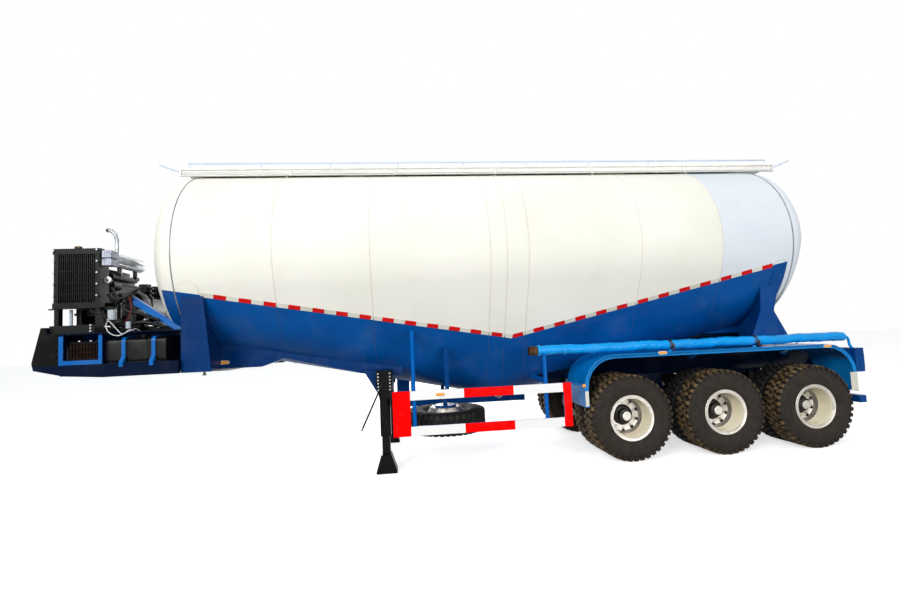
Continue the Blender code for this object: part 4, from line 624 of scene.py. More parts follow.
def head_sections(end, forward):
    """Rings of a dished head, from its flange to its pole. The rear head is flatter below its middle."""
    rings = []
    for step in range(HEAD_STEPS):
        angle = math.pi / 2 * step / HEAD_STEPS
        reach = forward * (HEAD_FLANGE + (HEAD_DEPTH - HEAD_FLANGE) * math.sin(angle))
        ring = []
        for point in tank_section(end, 0.0, math.cos(angle)):
            below = max((TANK_CENTRE_Z - point.z) / TANK_RADIUS, 0.0) if forward < 0 else 0.0
            ring.append(point + Vector((reach * (1 - REAR_TUCK * below), 0, 0)))
        rings.append(ring)
    return rings + [[Vector((end + forward * HEAD_DEPTH, 0, TANK_CENTRE_Z))] * len(rings[0])]


def spread(low, high, step):
    count = max(2, round(abs(high - low) / step) + 1)
    return [low + (high - low) * i / (count - 1) for i in range(count)]


# %% Tank shell
stations = spread(TANK_FRONT, TANK_LOW, BARREL_STEP) + spread(TANK_LOW, TANK_REAR, BARREL_STEP)[1:]
rings = head_sections(TANK_FRONT, 1)[::-1]
rings += [tank_section(x) for x in stations] + head_sections(TANK_REAR, -1)
shell = bmesh.new()
skin(shell, rings, caps=False)
print("tank rings:", len(rings), "points in each:", len(rings[0]))

# %% [markdown]
# Two-tone paint
#
# The tank is cream above and blue below. The edge of the blue is a V that follows the deep belly, and
# the rear course is painted a colder white, which is a painted reflection. A band of colour is a matter
# of place, so the paint compares the height of each point with the V instead of cutting the mesh along it.

# %% Tank paint
VEE = Vector((FRONT_AXLE + 1.44, 0, 1.69))
VEE_RISE_FRONT = 0.1730
VEE_RISE_REAR = 0.2275
BLUE_FRONT = FRONT_AXLE + 5.88
BLUE_REAR = FRONT_AXLE - 2.42
COLD_COURSE = FRONT_AXLE - 1.45


def vee_height(x):
    return VEE.z + (VEE_RISE_FRONT * (x - VEE.x) if x > VEE.x else VEE_RISE_REAR * (VEE.x - x))


def two_tone(name, grime_and_shade=0.0, dirt="#9A927F"):
    """Gloss enamel in cream and blue, parted along the V, darkened all over by a share of grime and painted
    shade if one is given.
    """
    material, tree, shader = blank(name)
    place = add(tree, "ShaderNodeTexCoord", output="Object")
    x = add(tree, "ShaderNodeSeparateXYZ", {0: place}, "X")
    z = add(tree, "ShaderNodeSeparateXYZ", {0: place}, "Z")
    from_vee = add(tree, "ShaderNodeMath", {0: x, 1: VEE.x}, operation="SUBTRACT")
    forward = add(tree, "ShaderNodeMath", {0: from_vee, 1: VEE_RISE_FRONT}, operation="MULTIPLY")
    rearward = add(tree, "ShaderNodeMath", {0: from_vee, 1: -VEE_RISE_REAR}, operation="MULTIPLY")
    rise = add(tree, "ShaderNodeMath", {0: forward, 1: rearward}, operation="MAXIMUM")
    line = add(tree, "ShaderNodeMath", {0: rise, 1: VEE.z}, operation="ADD")
    below = add(tree, "ShaderNodeMath", {0: z, 1: line}, operation="LESS_THAN")
    behind = add(tree, "ShaderNodeMath", {0: x, 1: BLUE_FRONT}, operation="LESS_THAN")
    ahead = add(tree, "ShaderNodeMath", {0: x, 1: BLUE_REAR}, operation="GREATER_THAN")
    on_barrel = add(tree, "ShaderNodeMath", {0: behind, 1: ahead}, operation="MULTIPLY")
    is_blue = add(tree, "ShaderNodeMath", {0: below, 1: on_barrel}, operation="MULTIPLY")
    # The rear course's colder white is a painted reflection.
    is_cold = add(tree, "ShaderNodeMath", {0: x, 1: COLD_COURSE}, operation="LESS_THAN")
    cream = add(tree, "ShaderNodeMix",
                {0: patches(tree, 1.6), 6: linear("#F4F2E7"), 7: linear("#ECEADD")}, 2, data_type="RGBA")
    cold = add(tree, "ShaderNodeMix",
               {0: patches(tree, 1.1), 6: linear("#E6EAEE"), 7: linear("#DCE3EA")}, 2, data_type="RGBA")
    blue = add(tree, "ShaderNodeMix",
               {0: patches(tree, 0.9), 6: linear("#00468A"), 7: linear("#00529C")}, 2, data_type="RGBA")
    white = add(tree, "ShaderNodeMix", {0: is_cold, 6: cream, 7: cold}, 2, data_type="RGBA")
    colour = add(tree, "ShaderNodeMix", {0: is_blue, 6: white, 7: blue}, 2, data_type="RGBA")
    # Dust in patches, plus any given share of grime and painted shade, mixes in the grey-brown.
    dust = add(tree, "ShaderNodeMath", {0: patches(tree, 0.35, 0.52, 0.80, 8.0), 1: 0.06, 2: grime_and_shade},
               operation="MULTIPLY_ADD")
    colour = add(tree, "ShaderNodeMix", {0: dust, 6: colour, 7: linear(dirt)}, 2, data_type="RGBA")
    tree.links.new(colour, shader.inputs["Base Color"])
    shader.inputs["Roughness"].default_value = 0.40
    shader.inputs["IOR"].default_value = 1.5
    shader.inputs["Specular IOR Level"].default_value = 0.12
    # Rolled plate is never quite fair: its waves are about 400 mm long and 1 mm deep.
    wave = patches(tree, 0.40, 0.0, 1.0, 1.0)
    relief = add(tree, "ShaderNodeBump", {"Height": wave, "Strength": 0.35, "Distance": 0.004})
    tree.links.new(relief, shader.inputs["Normal"])
    return material


tank = to_object("tank_shell", shell, two_tone("two_tone_tank_enamel"), crease=60)
settle(tank,
       stands_for=["tank_front_barrel", "tank_rear_barrel", "tank_front_head", "tank_rear_head"])
print("tank faces:", len(tank.data.polygons))

# %% [markdown]
# Weld beads and pad plates
#
# The shell is made of courses about 1.2 to 1.5 m wide, butted and welded all round, so each seam shows
# as a low raised line. Where the front bolster and the rear saddles carry the tank, a pad plate with a
# rounded top spreads the load. Beads and pads are thin closed bodies that follow the same sections as
# the shell, a little proud of it, and they take the tank's own paint.


# %% Weld beads, and painted shade lines at the head seams
def tank_side(x, z, grow=0.0):
    """Point of the left skin at a height, found by halving the turn."""
    low, high = 0.0, 1.0
    for _ in range(40):
        turn = (low + high) / 2
        if section_point(x, turn, grow).z > z:
            low = turn
        else:
            high = turn
    above, below = section_point(x, low, grow), section_point(x, high, grow)
    share = (above.z - z) / max(above.z - below.z, 1e-9)
    return above.lerp(below, share)


SEAMS = [FRONT_AXLE + x for x in (4.52, 3.32, 1.77, 1.26, -0.29, -1.45)]
BEAD_WIDTH = 0.016
BEAD_HEIGHT = 0.004
# At the seams a grey-brown darkens the paint, partly grime and partly painted shade along beads and welds.
seam_grime_and_shade_paint = two_tone("two_tone_enamel_at_seams", grime_and_shade=0.20, dirt="#5A564E")
beads = bmesh.new()
for x in SEAMS + [TANK_LOW]:
    section = [(-BEAD_WIDTH / 2, -0.002), (-BEAD_WIDTH / 4, BEAD_HEIGHT), (BEAD_WIDTH / 4, BEAD_HEIGHT),
               (BEAD_WIDTH / 2, -0.002)]
    rings = [tank_section(x + along, grow) for along, grow in section]
    skin(beads, rings + rings[:1], caps=False)
settle(to_object("course_weld_beads", beads, seam_grime_and_shade_paint, crease=60))

# Each head seam is a low raised ring in flat grey, which is painted shade for the gap between head and
# barrel.
lines = bmesh.new()
for end in (TANK_FRONT, TANK_REAR):
    section = [(-0.010, -0.003), (-0.005, 0.006), (0.005, 0.006), (0.010, -0.003)]
    rings = [[point + Vector((along, 0, 0)) for point in tank_section(end, grow)]
             for along, grow in section]
    skin(lines, rings + rings[:1], caps=False)
settle(to_object("head_seam_sealer", lines, grey_shade_line, crease=60))
print("seams:", len(SEAMS) + 1)

# %% Pad plates
PADS = ((FRONT_AXLE + 5.556, 0.13, 1.95, 2.55), (FRONT_AXLE - 2.32, 0.09, 1.95, 2.60))  # x, half, low, top
PAD_IN, PAD_OUT = -0.003, 0.006
PAD_STEPS = 22
WELD_RISE, WELD_RADIUS = 0.004, 0.0035


def pad_plate(mesh, centre_x, half, low_z, top_z, side):
    """Thin plate on the skin with a rounded top."""
    rings = []
    for step in range(PAD_STEPS + 1):
        z = low_z + (top_z - 0.0005 - low_z) * step / PAD_STEPS
        round_from = top_z - half
        reach = half if z < round_from else math.sqrt(max(half ** 2 - (z - round_from) ** 2, 1e-6))
        across = [centre_x - reach + 2 * reach * k / 8 for k in range(9)]
        loop = [tank_side(x, z, PAD_IN) for x in across] + [tank_side(x, z, PAD_OUT) for x in across[::-1]]
        rings.append([Vector((p.x, p.y * side, p.z)) for p in loop])
    skin(mesh, rings)


pads = bmesh.new()
welds = bmesh.new()
for side in (1, -1):
    for centre_x, half, low_z, top_z in PADS:
        pad_plate(pads, centre_x, half, low_z, top_z, side)
        edge = [tank_side(centre_x - half, low_z, WELD_RISE)]
        for step in range(17):
            angle = math.pi * step / 16
            edge.append(tank_side(centre_x - half * math.cos(angle), top_z - half + half * math.sin(angle),
                                  WELD_RISE))
        edge.append(tank_side(centre_x + half, low_z, WELD_RISE))
        tube(welds, [Vector((p.x, p.y * side, p.z)) for p in edge], WELD_RADIUS, 6)
settle(to_object("tank_pad_plates", pads, tank.data.materials[0], crease=30))
settle(to_object("pad_plate_welds", welds, seam_grime_and_shade_paint, crease=60))
print("pads on each side:", len(PADS))

# %% [markdown]
# Conspicuity tape
#
# A line of red and white reflective tape runs along the V on both sides, so that the trailer's length
# shows at night. A tree places one short piece after the other on points along the V. Each point holds
# how its piece is turned, and every second piece is red.

# %% Tree that lays tape on points
tape_tree, start = new_tree("tape_on_points", [
    ("Piece", "NodeSocketObject"), ("White", "NodeSocketMaterial"), ("Red", "NodeSocketMaterial")])
turn = add(tape_tree, "GeometryNodeInputNamedAttribute", {"Name": "turn"}, data_type="FLOAT_VECTOR")
odd = add(tape_tree, "ShaderNodeMath", {0: add(tape_tree, "GeometryNodeInputIndex"), 1: 2.0},
          operation="MODULO")
even = add(tape_tree, "ShaderNodeMath", {0: 1.0, 1: odd}, operation="SUBTRACT")
shape = add(tape_tree, "GeometryNodeObjectInfo", {"Object": start.outputs["Piece"]}, "Geometry")
joined = tape_tree.nodes.new("GeometryNodeJoinGeometry")
for choice, finish in ((odd, "Red"), (even, "White")):
    placed = add(tape_tree, "GeometryNodeInstanceOnPoints", {
        "Points": start.outputs["Geometry"], "Selection": choice, "Instance": shape, "Rotation": turn})
    real = add(tape_tree, "GeometryNodeRealizeInstances", {0: placed})
    painted = add(tape_tree, "GeometryNodeSetMaterial",
                  {"Geometry": real, "Material": start.outputs[finish]})
    tape_tree.links.new(painted, joined.inputs[0])
add(tape_tree, "NodeGroupOutput", {0: joined.outputs[0]})
print("nodes in the tape tree:", len(tape_tree.nodes))

# %% Points along the V
TAPE_LENGTH = 0.150
TAPE_WIDTH = 0.058
TAPE_RISE = 0.002
TAPE_FRONT = FRONT_AXLE + 5.34
TAPE_REAR = FRONT_AXLE - 2.22


def vee_points(side):
    """Middles and turns of the tape pieces along the V on one side."""
    places = []
    x = TAPE_FRONT
    while x > TAPE_REAR:
        here = tank_side(x, vee_height(x), TAPE_RISE)
        ahead = tank_side(x - 0.01, vee_height(x - 0.01), TAPE_RISE)
        along = (ahead - here).normalized()
        above = (tank_side(x, here.z + 0.01, TAPE_RISE) - here).normalized()
        along.y, here.y, above.y = along.y * side, here.y * side, above.y * side
        out = along.cross(above).normalized()
        if out.y * side < 0:
            out = -out
        above = out.cross(along)
        places.append((here, Matrix((along, above, out)).transposed().to_euler()))
        x += along.x * TAPE_LENGTH
    return places


# %% Lay the tape
slip = bmesh.new()
outline = [(x * (TAPE_LENGTH / 2 - 0.001), y * TAPE_WIDTH / 2)
           for x, y in ((-1, -1), (1, -1), (1, 1), (-1, 1))]
skin(slip, [[(x, y, z) for x, y in outline] for z in (-0.0010, 0.0006)])
slip = to_object("tape_slip", slip, white_sheet)
for side, label in ((1, "left"), (-1, "right")):
    places = vee_points(side)
    data = bpy.data.meshes.new("tape_points")
    data.from_pydata([place for place, turn in places], [], [])
    turns = data.attributes.new("turn", "FLOAT_VECTOR", "POINT")
    for number, (place, turn) in enumerate(places):
        turns.data[number].vector = turn
    tape = bpy.data.objects.new(f"tape_{label}", data)
    bpy.context.scene.collection.objects.link(tape)
    repeat(tape, tape_tree, piece=slip, white=white_sheet, red=red_sheet)
    settle(tape)
    print(tape.name, "pieces:", len(places))
drop(slip)

# %% [markdown]
# Fuel tank and its straps
#
# The deck carries a diesel engine that drives the compressor, and its fuel tank hangs at the side in two
# straps. The real tank is a folded sheet with rolled ribs and pressed ends. A rounded rectangle drawn
# along X, a little smaller between the ribs, gives the same lines. The straps are bands round it.


# %% Rounded outlines and soft edges
def rounded(width, height, radius, corner_steps=5):
    """Outline of a rounded rectangle about its middle."""
    outline = []
    for number, (x, y) in enumerate(((1, 1), (-1, 1), (-1, -1), (1, -1))):
        for step in range(corner_steps + 1):
            angle = math.pi / 2 * (number + step / corner_steps)
            outline.append((x * (width / 2 - radius) + radius * math.cos(angle),
                            y * (height / 2 - radius) + radius * math.sin(angle)))
    return outline


def soft(name, mesh, finish, edge=0.003, crease=40):
    """Object with small round edges."""
    piece = to_object(name, mesh, finish, crease=crease)
    bevel = piece.modifiers.new("soft edges", "BEVEL")
    bevel.width = edge
    bevel.segments = 2
    bevel.angle_limit = math.radians(crease)
    bevel.harden_normals = True
    return applied(piece)


print("points of a rounded outline:", len(rounded(1.0, 1.0, 0.1)))

# %% Fuel tank
fuel_low, fuel_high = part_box("fuel_tank")
bed_low, bed_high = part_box("fuel_tank_cradle")
deck_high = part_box("engine_deck")[1]
FUEL_HEIGHT = 0.325
FUEL_DEPTH = fuel_high.y - fuel_low.y
STRAP_STATIONS = (fuel_low.x + 0.1425, fuel_low.x + 0.4825)
SKIRT_TOP = 1.59
centre = (fuel_low + fuel_high) / 2
centre.z = fuel_low.z + FUEL_HEIGHT / 2
RIB, PANEL, GROOVE, PRESSED = 0.0, -0.008, -0.013, -0.012
FUEL_PROFILE = (  # from the rear end, from the front end, how far the skin stands out
    (0.0, None, PRESSED), (0.002, None, RIB), (0.014, None, RIB), (0.018, None, PANEL),
    (0.220, None, PANEL), (0.228, None, GROOVE), (0.236, None, PANEL),
    (None, 0.220, PANEL), (None, 0.212, GROOVE), (None, 0.204, PANEL),
    (None, 0.018, PANEL), (None, 0.014, RIB), (None, 0.002, RIB), (None, 0.0, PRESSED),
)
tank_mesh = bmesh.new()
rings = []
for from_rear, from_front, grow in FUEL_PROFILE:
    x = fuel_low.x + from_rear if from_front is None else fuel_high.x - from_front
    rings.append([(x, centre.y + y, centre.z + z)
                  for y, z in rounded(FUEL_DEPTH + 2 * grow, FUEL_HEIGHT + 2 * grow, 0.055)])
skin(tank_mesh, rings)
FILLER_CAP = ((0.0, -0.02), (0.040, -0.02), (0.040, 0.006), (0.046, 0.008), (0.046, 0.023), (0.0, 0.023))
turned(tank_mesh, FILLER_CAP, (centre.x, centre.y, fuel_high.z - 0.023), (0, 0, 1), 24)
settle(to_object("fuel_tank_shell", tank_mesh, engine_enamel, crease=35),
       stands_for=["fuel_tank"])
print("fuel tank rings:", len(FUEL_PROFILE))

# %% Fuel tank straps
STRAP_HALF = 0.0225
STRAP_GAUGE = 0.006
straps = bmesh.new()
for x in STRAP_STATIONS:
    outer = rounded(FUEL_DEPTH + STRAP_GAUGE, FUEL_HEIGHT + STRAP_GAUGE, 0.057)
    inner = rounded(FUEL_DEPTH - STRAP_GAUGE, FUEL_HEIGHT - STRAP_GAUGE, 0.054)
    rings = [[(x + along, centre.y + y, centre.z + z) for y, z in outline] for along, outline in (
        (-STRAP_HALF, outer), (STRAP_HALF, outer), (STRAP_HALF, inner), (-STRAP_HALF, inner))]
    skin(straps, rings + rings[:1], caps=False)
    face = centre.y + FUEL_DEPTH / 2
    foot = [(face - 0.004, SKIRT_TOP + 0.075), (face + 0.003, SKIRT_TOP + 0.075),
            (deck_high.y + 0.009, SKIRT_TOP + 0.012), (deck_high.y + 0.009, SKIRT_TOP - 0.045),
            (deck_high.y + 0.001, SKIRT_TOP - 0.045), (deck_high.y + 0.001, SKIRT_TOP + 0.006)]
    skin(straps, [[(x + along, y, z) for y, z in foot] for along in (-STRAP_HALF, STRAP_HALF)])
brick(straps, (bed_low.x, centre.y - 0.115, bed_low.z), (bed_high.x, centre.y + 0.115, fuel_low.z + 0.010))
settle(to_object("fuel_tank_straps", straps, strap_enamel, crease=35),
       stands_for=["fuel_tank_cradle"])
print("straps:", len(STRAP_STATIONS))

# %% [markdown]
# Battery bay
#
# The batteries stand in a bolted frame of flat bar, held down by a rusty clamp grid. The frame is three
# boxes with soft edges and the grid is thin bars, because at this distance only their pattern is seen.

# %% Battery bay
POSTS = (FRONT_AXLE + 6.49, FRONT_AXLE + 6.92)
BAY_BACK = deck_high.y - 0.045
BAY_LOW, BAY_HIGH = SKIRT_TOP - 0.002, 1.930
bay = bmesh.new()
for x, width in ((POSTS[0] + 0.004, 0.042), (POSTS[1] + 0.006, 0.050)):
    brick(bay, (x, BAY_BACK, BAY_LOW), (x + width, deck_high.y + 0.003, BAY_HIGH))
brick(bay, (POSTS[0] + 0.045, BAY_BACK, BAY_LOW),
      (POSTS[1] + 0.007, deck_high.y + 0.002, SKIRT_TOP + 0.050))
settle(soft("battery_bay_frame", bay, strap_enamel))

battery_low, battery_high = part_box("battery_box")
GRID_BARS = 9
GRID_PITCH = 0.036
grid = bmesh.new()
for number in range(GRID_BARS):
    x = battery_low.x + 0.04 + number * GRID_PITCH
    tube(grid, [(x, battery_high.y + 0.006, 1.62), (x, battery_high.y + 0.006, 1.83)], 0.006, 6)
for z in (1.66, 1.73, 1.80):
    ends = [(x, battery_high.y + 0.011, z) for x in (battery_low.x + 0.03, battery_high.x - 0.03)]
    tube(grid, ends, 0.005, 6)
settle(to_object("battery_clamp_grid", grid, burnt_steel))
terminals = bmesh.new()
TERMINAL = ((0.0, 0.0), (0.020, 0.0), (0.020, 0.014), (0.016, 0.018), (0.0, 0.018))
for x in (battery_low.x + 0.05, battery_low.x + 0.14, battery_low.x + 0.27):
    turned(terminals, TERMINAL, (x, battery_high.y - 0.05, battery_high.z - 0.004), (0, 0, 1), 16)
settle(to_object("battery_terminals", terminals, zinc))
print("clamp grid bars:", GRID_BARS)

# %% [markdown]
# Nose side plates
#
# Black plates close the sides of the slanted nose, with three step treads that get shorter upwards. Each
# is one outline with a thickness, and the treads are narrow boxes that stand out from it.

# %% Nose side plates
PLATE_REAR = POSTS[1] + 0.057
NOSE_OUTLINE = [(PLATE_REAR, SKIRT_TOP), (5.335, SKIRT_TOP), (5.368, 1.628), (5.272, 2.038), (5.218, 2.038),
                (5.205, 1.962), (PLATE_REAR, 1.962)]
STEP_TREADS = ((1.67, 0.215), (1.76, 0.195), (1.85, 0.175))  # height, length
nose = bmesh.new()
for side in (1, -1):
    skin(nose, [[(x, y * side, z) for x, z in NOSE_OUTLINE]
                for y in (deck_high.y - 0.006, deck_high.y + 0.003)])
    for z, reach in STEP_TREADS:
        low_y, high_y = sorted((side * (deck_high.y + 0.003), side * (deck_high.y + 0.015)))
        brick(nose, (POSTS[1] + 0.075, low_y, z), (POSTS[1] + 0.075 + reach, high_y, z + 0.018))
settle(soft("nose_side_plates", nose, black_enamel, 0.002))
print("treads on each side:", len(STEP_TREADS))

# %% [markdown]
# Radiator
#
# The radiator's face is a row of upright fins behind a thin wire guard, in a folded frame that is bolted
# at both edges. Fins and bolts stand at an even pitch, so the row tree places them from one piece each.

# %% Radiator fins and guard
radiator_low, radiator_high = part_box("radiator")
CORE_FACE = radiator_high.y - 0.100
FIN_COUNT = 18
CORE_LEFT, CORE_RIGHT = radiator_low.x + 0.065, radiator_high.x - 0.065
CORE_LOW, CORE_HIGH = 2.375, 2.945
fin = bmesh.new()
brick(fin, (CORE_LEFT, CORE_FACE - 0.012, CORE_LOW), (CORE_LEFT + 0.008, CORE_FACE + 0.006, CORE_HIGH))
fin = to_object("core_fin", fin, engine_enamel)
GUARD_WIRES = 4
core = bmesh.new()
for number in range(GUARD_WIRES):
    z = CORE_LOW + (CORE_HIGH - CORE_LOW) * (number + 0.5) / GUARD_WIRES
    brick(core, (CORE_LEFT, CORE_FACE - 0.004, z - 0.003), (CORE_RIGHT, CORE_FACE + 0.0005, z + 0.003))
core = to_object("radiator_guard_grid", core, engine_enamel)
fins = bpy.data.objects.new("radiator_fins", bpy.data.meshes.new("radiator_fins"))
bpy.context.scene.collection.objects.link(fins)
repeat(fins, row_tree, piece=fin, count=FIN_COUNT, finish=engine_enamel,
       step=((CORE_RIGHT - CORE_LEFT - 0.008) / (FIN_COUNT - 1), 0.0, 0.0))
settle(fins)
settle(core)
drop(fin)
print("radiator fins:", FIN_COUNT)

# %% Bolts and cap of the radiator
BOLT_REACH = 0.013
HEX_TURNS = [math.tau * k / 6 for k in range(6)]
bolt = bmesh.new()
head = [(BOLT_REACH * math.cos(angle), BOLT_REACH * math.sin(angle)) for angle in HEX_TURNS]
skin(bolt, [[(x * share, y, z * share) for x, z in head]
            for share, y in ((1.0, -0.002), (1.0, 0.010), (0.8, 0.013))])
bolt = to_object("flange_bolt", bolt, zinc, crease=20)


def bolt_column(name, corner, count, step, body="trailer"):
    """Column of bolt heads that face the left side."""
    first = bpy.data.objects.new("bolt_at_corner", bolt.data.copy())
    bpy.context.scene.collection.objects.link(first)
    first.data.transform(Matrix.Translation(corner))
    carrier = bpy.data.objects.new(name, bpy.data.meshes.new(name))
    bpy.context.scene.collection.objects.link(carrier)
    repeat(carrier, row_tree, piece=first, count=count, step=step, finish=zinc)
    drop(first)
    return settle(carrier, body)


FRAME_BOLTS = 5
FRAME_BOLT_STEP = (0.0, 0.0, 0.141)
for label, x in (("rear", radiator_low.x + 0.030), ("front", radiator_high.x - 0.020)):
    bolt_column(f"radiator_bolts_{label}", (x, CORE_FACE + 0.006, 2.425), FRAME_BOLTS, FRAME_BOLT_STEP)
BEAM_BOLTS = 3
BEAM_BOLT_STEP = (0.0, 0.0, 0.034)
bolt_column("stand_beam_bolts", (radiator_low.x + 0.035, radiator_high.y + 0.001, 1.985), BEAM_BOLTS,
            BEAM_BOLT_STEP)
cap_mesh = bmesh.new()
turned(cap_mesh, ((0.0, -0.01), (0.032, -0.01), (0.034, 0.004), (0.030, 0.014), (0.0, 0.016)),
       (middle("radiator").x, radiator_high.y - 0.147, radiator_high.z - 0.012), (0, 0, 1), 20)
settle(to_object("radiator_cap", cap_mesh, rusty_steel))
print("bolts of the frame:", 2 * FRAME_BOLTS, "of the beam:", BEAM_BOLTS)

# %% [markdown]
# Fittings and pipes of the engine
#
# The engine's near end is crowded with an air inlet box, filter cans, a pulley, unions and pipes. In the
# photo they are a few pixels each, so turned parts and tubes on smooth lines are enough to give the
# same clutter of light and dark. They are placed beside the engine's own solid.

# %% Air inlet box
INLET_BOXES = ((2.795, 2.880), (2.892, 2.985))  # low, high
INLET_RIBS = (4.622, 4.650, 4.678)
fittings = bmesh.new()
for low_z, high_z in INLET_BOXES:
    brick(fittings, (4.604, 0.885, low_z), (4.712, 1.030, high_z))
    for x in INLET_RIBS:
        brick(fittings, (x, 0.880, low_z - 0.003), (x + 0.010, 1.035, high_z + 0.003))
settle(soft("air_inlet_box", fittings, inlet_steel, 0.004))
print("inlet boxes:", len(INLET_BOXES))

# %% Filters, pulley and unions
FILTER_CAN = ((0.0, 0.0), (0.044, 0.0), (0.047, 0.006), (0.047, 0.118), (0.043, 0.124), (0.0, 0.124))
SMALL_CAN = ((0.0, 0.0), (0.030, 0.0), (0.030, 0.085), (0.0, 0.085))
filters = bmesh.new()
turned(filters, FILTER_CAN, (4.632, 0.960, 2.120), (0, 0, 1), 28)
turned(filters, SMALL_CAN, (4.440, 0.960, 2.005), (0, 0, 1), 20)
brick(filters, (5.100, 0.935, 2.055), (5.126, 0.960, 2.262))
settle(to_object("spin_on_filters", filters, filter_enamel, crease=30))

GROOVE_PROFILE = ((0.012, -0.012), (0.042, -0.012), (0.036, -0.003), (0.036, 0.003), (0.042, 0.012),
                  (0.034, 0.014), (0.030, 0.006), (0.012, 0.006))
PULLEY = Vector((4.690, 0.950, 2.622))
UNIONS = (  # x, z, radius
    (4.30, 2.19, 0.024), (4.17, 2.07, 0.018), (4.12, 2.02, 0.028), (4.29, 2.11, 0.020), (4.66, 2.40, 0.014),
)
UNION_Y = 0.855
pulleys = bmesh.new()
turned(pulleys, GROOVE_PROFILE, PULLEY, (0, 1, 0), 28)
for x, z, size in UNIONS:
    turned(pulleys, ((0.0, -0.02), (size, -0.02), (size, 0.01), (size * 0.6, 0.03), (0.0, 0.03)),
           (x, UNION_Y, z), (0, 1, 0), 16)
settle(to_object("pulley_and_unions", pulleys, zinc, crease=30))
print("unions:", len(UNIONS))

# %% Pipes and brackets
FILTER_HEAD = ((0.0, 0.0), (0.036, 0.0), (0.036, 0.03), (0.0, 0.03))
black_bits = bmesh.new()
turned(black_bits, FILTER_HEAD, (4.632, 0.960, 2.244), (0, 0, 1), 20)
brick(black_bits, (4.610, 0.900, 2.250), (4.730, 0.985, 2.285))
tube(black_bits, [PULLEY + Vector((0, 0.012, 0)), (4.690, 0.880, 2.622), (4.730, 0.860, 2.60)], 0.013, 8)
PIPES = (  # points of a pipe, radius
    (((4.66, 0.93, 2.52), (4.60, 0.95, 2.45), (4.58, 0.95, 2.36), (4.62, 0.93, 2.29)), 0.018),
    (((4.70, 0.92, 2.44), (4.62, 0.94, 2.38), (4.50, 0.93, 2.40), (4.42, 0.90, 2.46), (4.40, 0.85, 2.50)),
     0.022),
    (((4.55, 0.92, 2.30), (4.46, 0.93, 2.22), (4.34, 0.92, 2.20), (4.22, 0.90, 2.14), (4.12, 0.88, 2.10)),
     0.020),
    (((4.62, 0.90, 2.06), (4.48, 0.92, 2.05), (4.30, 0.92, 2.08), (4.16, 0.90, 2.05), (4.06, 0.88, 2.01)),
     0.026),
    (((4.86, 0.98, 2.30), (4.80, 1.02, 2.22), (4.72, 1.02, 2.20), (4.66, 1.00, 2.12), (4.60, 0.97, 2.06)),
     0.016),
)
for points, radius in PIPES:
    tube(black_bits, smooth_line(points), radius, 10)
BRACKETS = (  # low corner, high corner: bed under the sump, stand's leg, tray of the radiator
    ((4.06, -0.60, 1.9605), (5.02, 0.62, 2.040)),
    ((5.040, 0.640, 1.9605), (5.098, 0.880, 2.262)),
    ((5.240, 0.930, 2.266), (5.366, 0.962, 2.282)),
)
for low, high in BRACKETS:
    brick(black_bits, low, high)
# A black disc in the open end of the exhaust stack is painted shade for the inside of the pipe.
tube(black_bits, [(4.955, 0.500, 3.356), (4.974, 0.500, 3.374)], 0.0275, 16)
settle(to_object("engine_pipes", black_bits, engine_enamel, crease=40))
print("pipes:", len(PIPES))

# %% [markdown]
# Loose leads
#
# Two white leads hang in a loop over the edge of the deck, and a red one runs down the flywheel end of
# the engine. Each could be a curve with a bevel; a tube of faces on a smooth line is as quick. Both ends
# go into the machine.


# %% Loose leads
def lead(name, points, radius, finish):
    """Hanging lead with both ends in the machine."""
    line = smooth_line(points, 5)
    mesh = bmesh.new()
    tube(mesh, line, radius, 8)
    piece = settle(to_object(name, mesh, finish, crease=60))


white_sleeve = enamel("white_cable_sleeve", "#DCDCDA", "#C8C8C4", dusty=0.15, gloss=0.4)
red_sleeve = enamel("red_cable_sleeve", "#8E0C14", "#7A0A10", dusty=0.15, gloss=0.4)
FRONT_LOOP = [(4.66, 0.93, 2.100), (4.61, 1.08, 2.095), (4.56, 1.19, 2.030), (4.51, 1.215, 1.955),
              (4.43, 1.212, 1.915), (4.36, 1.200, 1.930), (4.32, 1.140, 1.985), (4.30, 1.080, 1.958)]
REAR_LOOP = [(4.68, 0.93, 2.125), (4.60, 1.10, 2.115), (4.50, 1.18, 2.060), (4.42, 1.222, 1.990),
             (4.36, 1.226, 1.935), (4.30, 1.205, 1.960), (4.26, 1.130, 1.990), (4.24, 1.060, 1.958)]
RED_LINE = [(4.49, 0.90, 2.440), (4.43, 0.95, 2.380), (4.405, 0.97, 2.300), (4.405, 0.975, 2.210),
            (4.44, 0.97, 2.130), (4.49, 0.95, 2.085)]
lead("front_white_lead", FRONT_LOOP, 0.0050, white_sleeve)
lead("rear_white_lead", REAR_LOOP, 0.0050, white_sleeve)
lead("red_lead", RED_LINE, 0.0040, red_sleeve)

# %% [markdown]
# Tyres
#
# The tyres are heavy truck tyres with deep blocks for soft ground. The carcass is one section turned
# round the axle, with the moulded rings of its sidewall in the section. The blocks repeat at an even
# pitch: one lug over each shoulder and two staggered rows between them. One tyre is built, and a copy
# of its mesh is moved into each of the thirteen places.

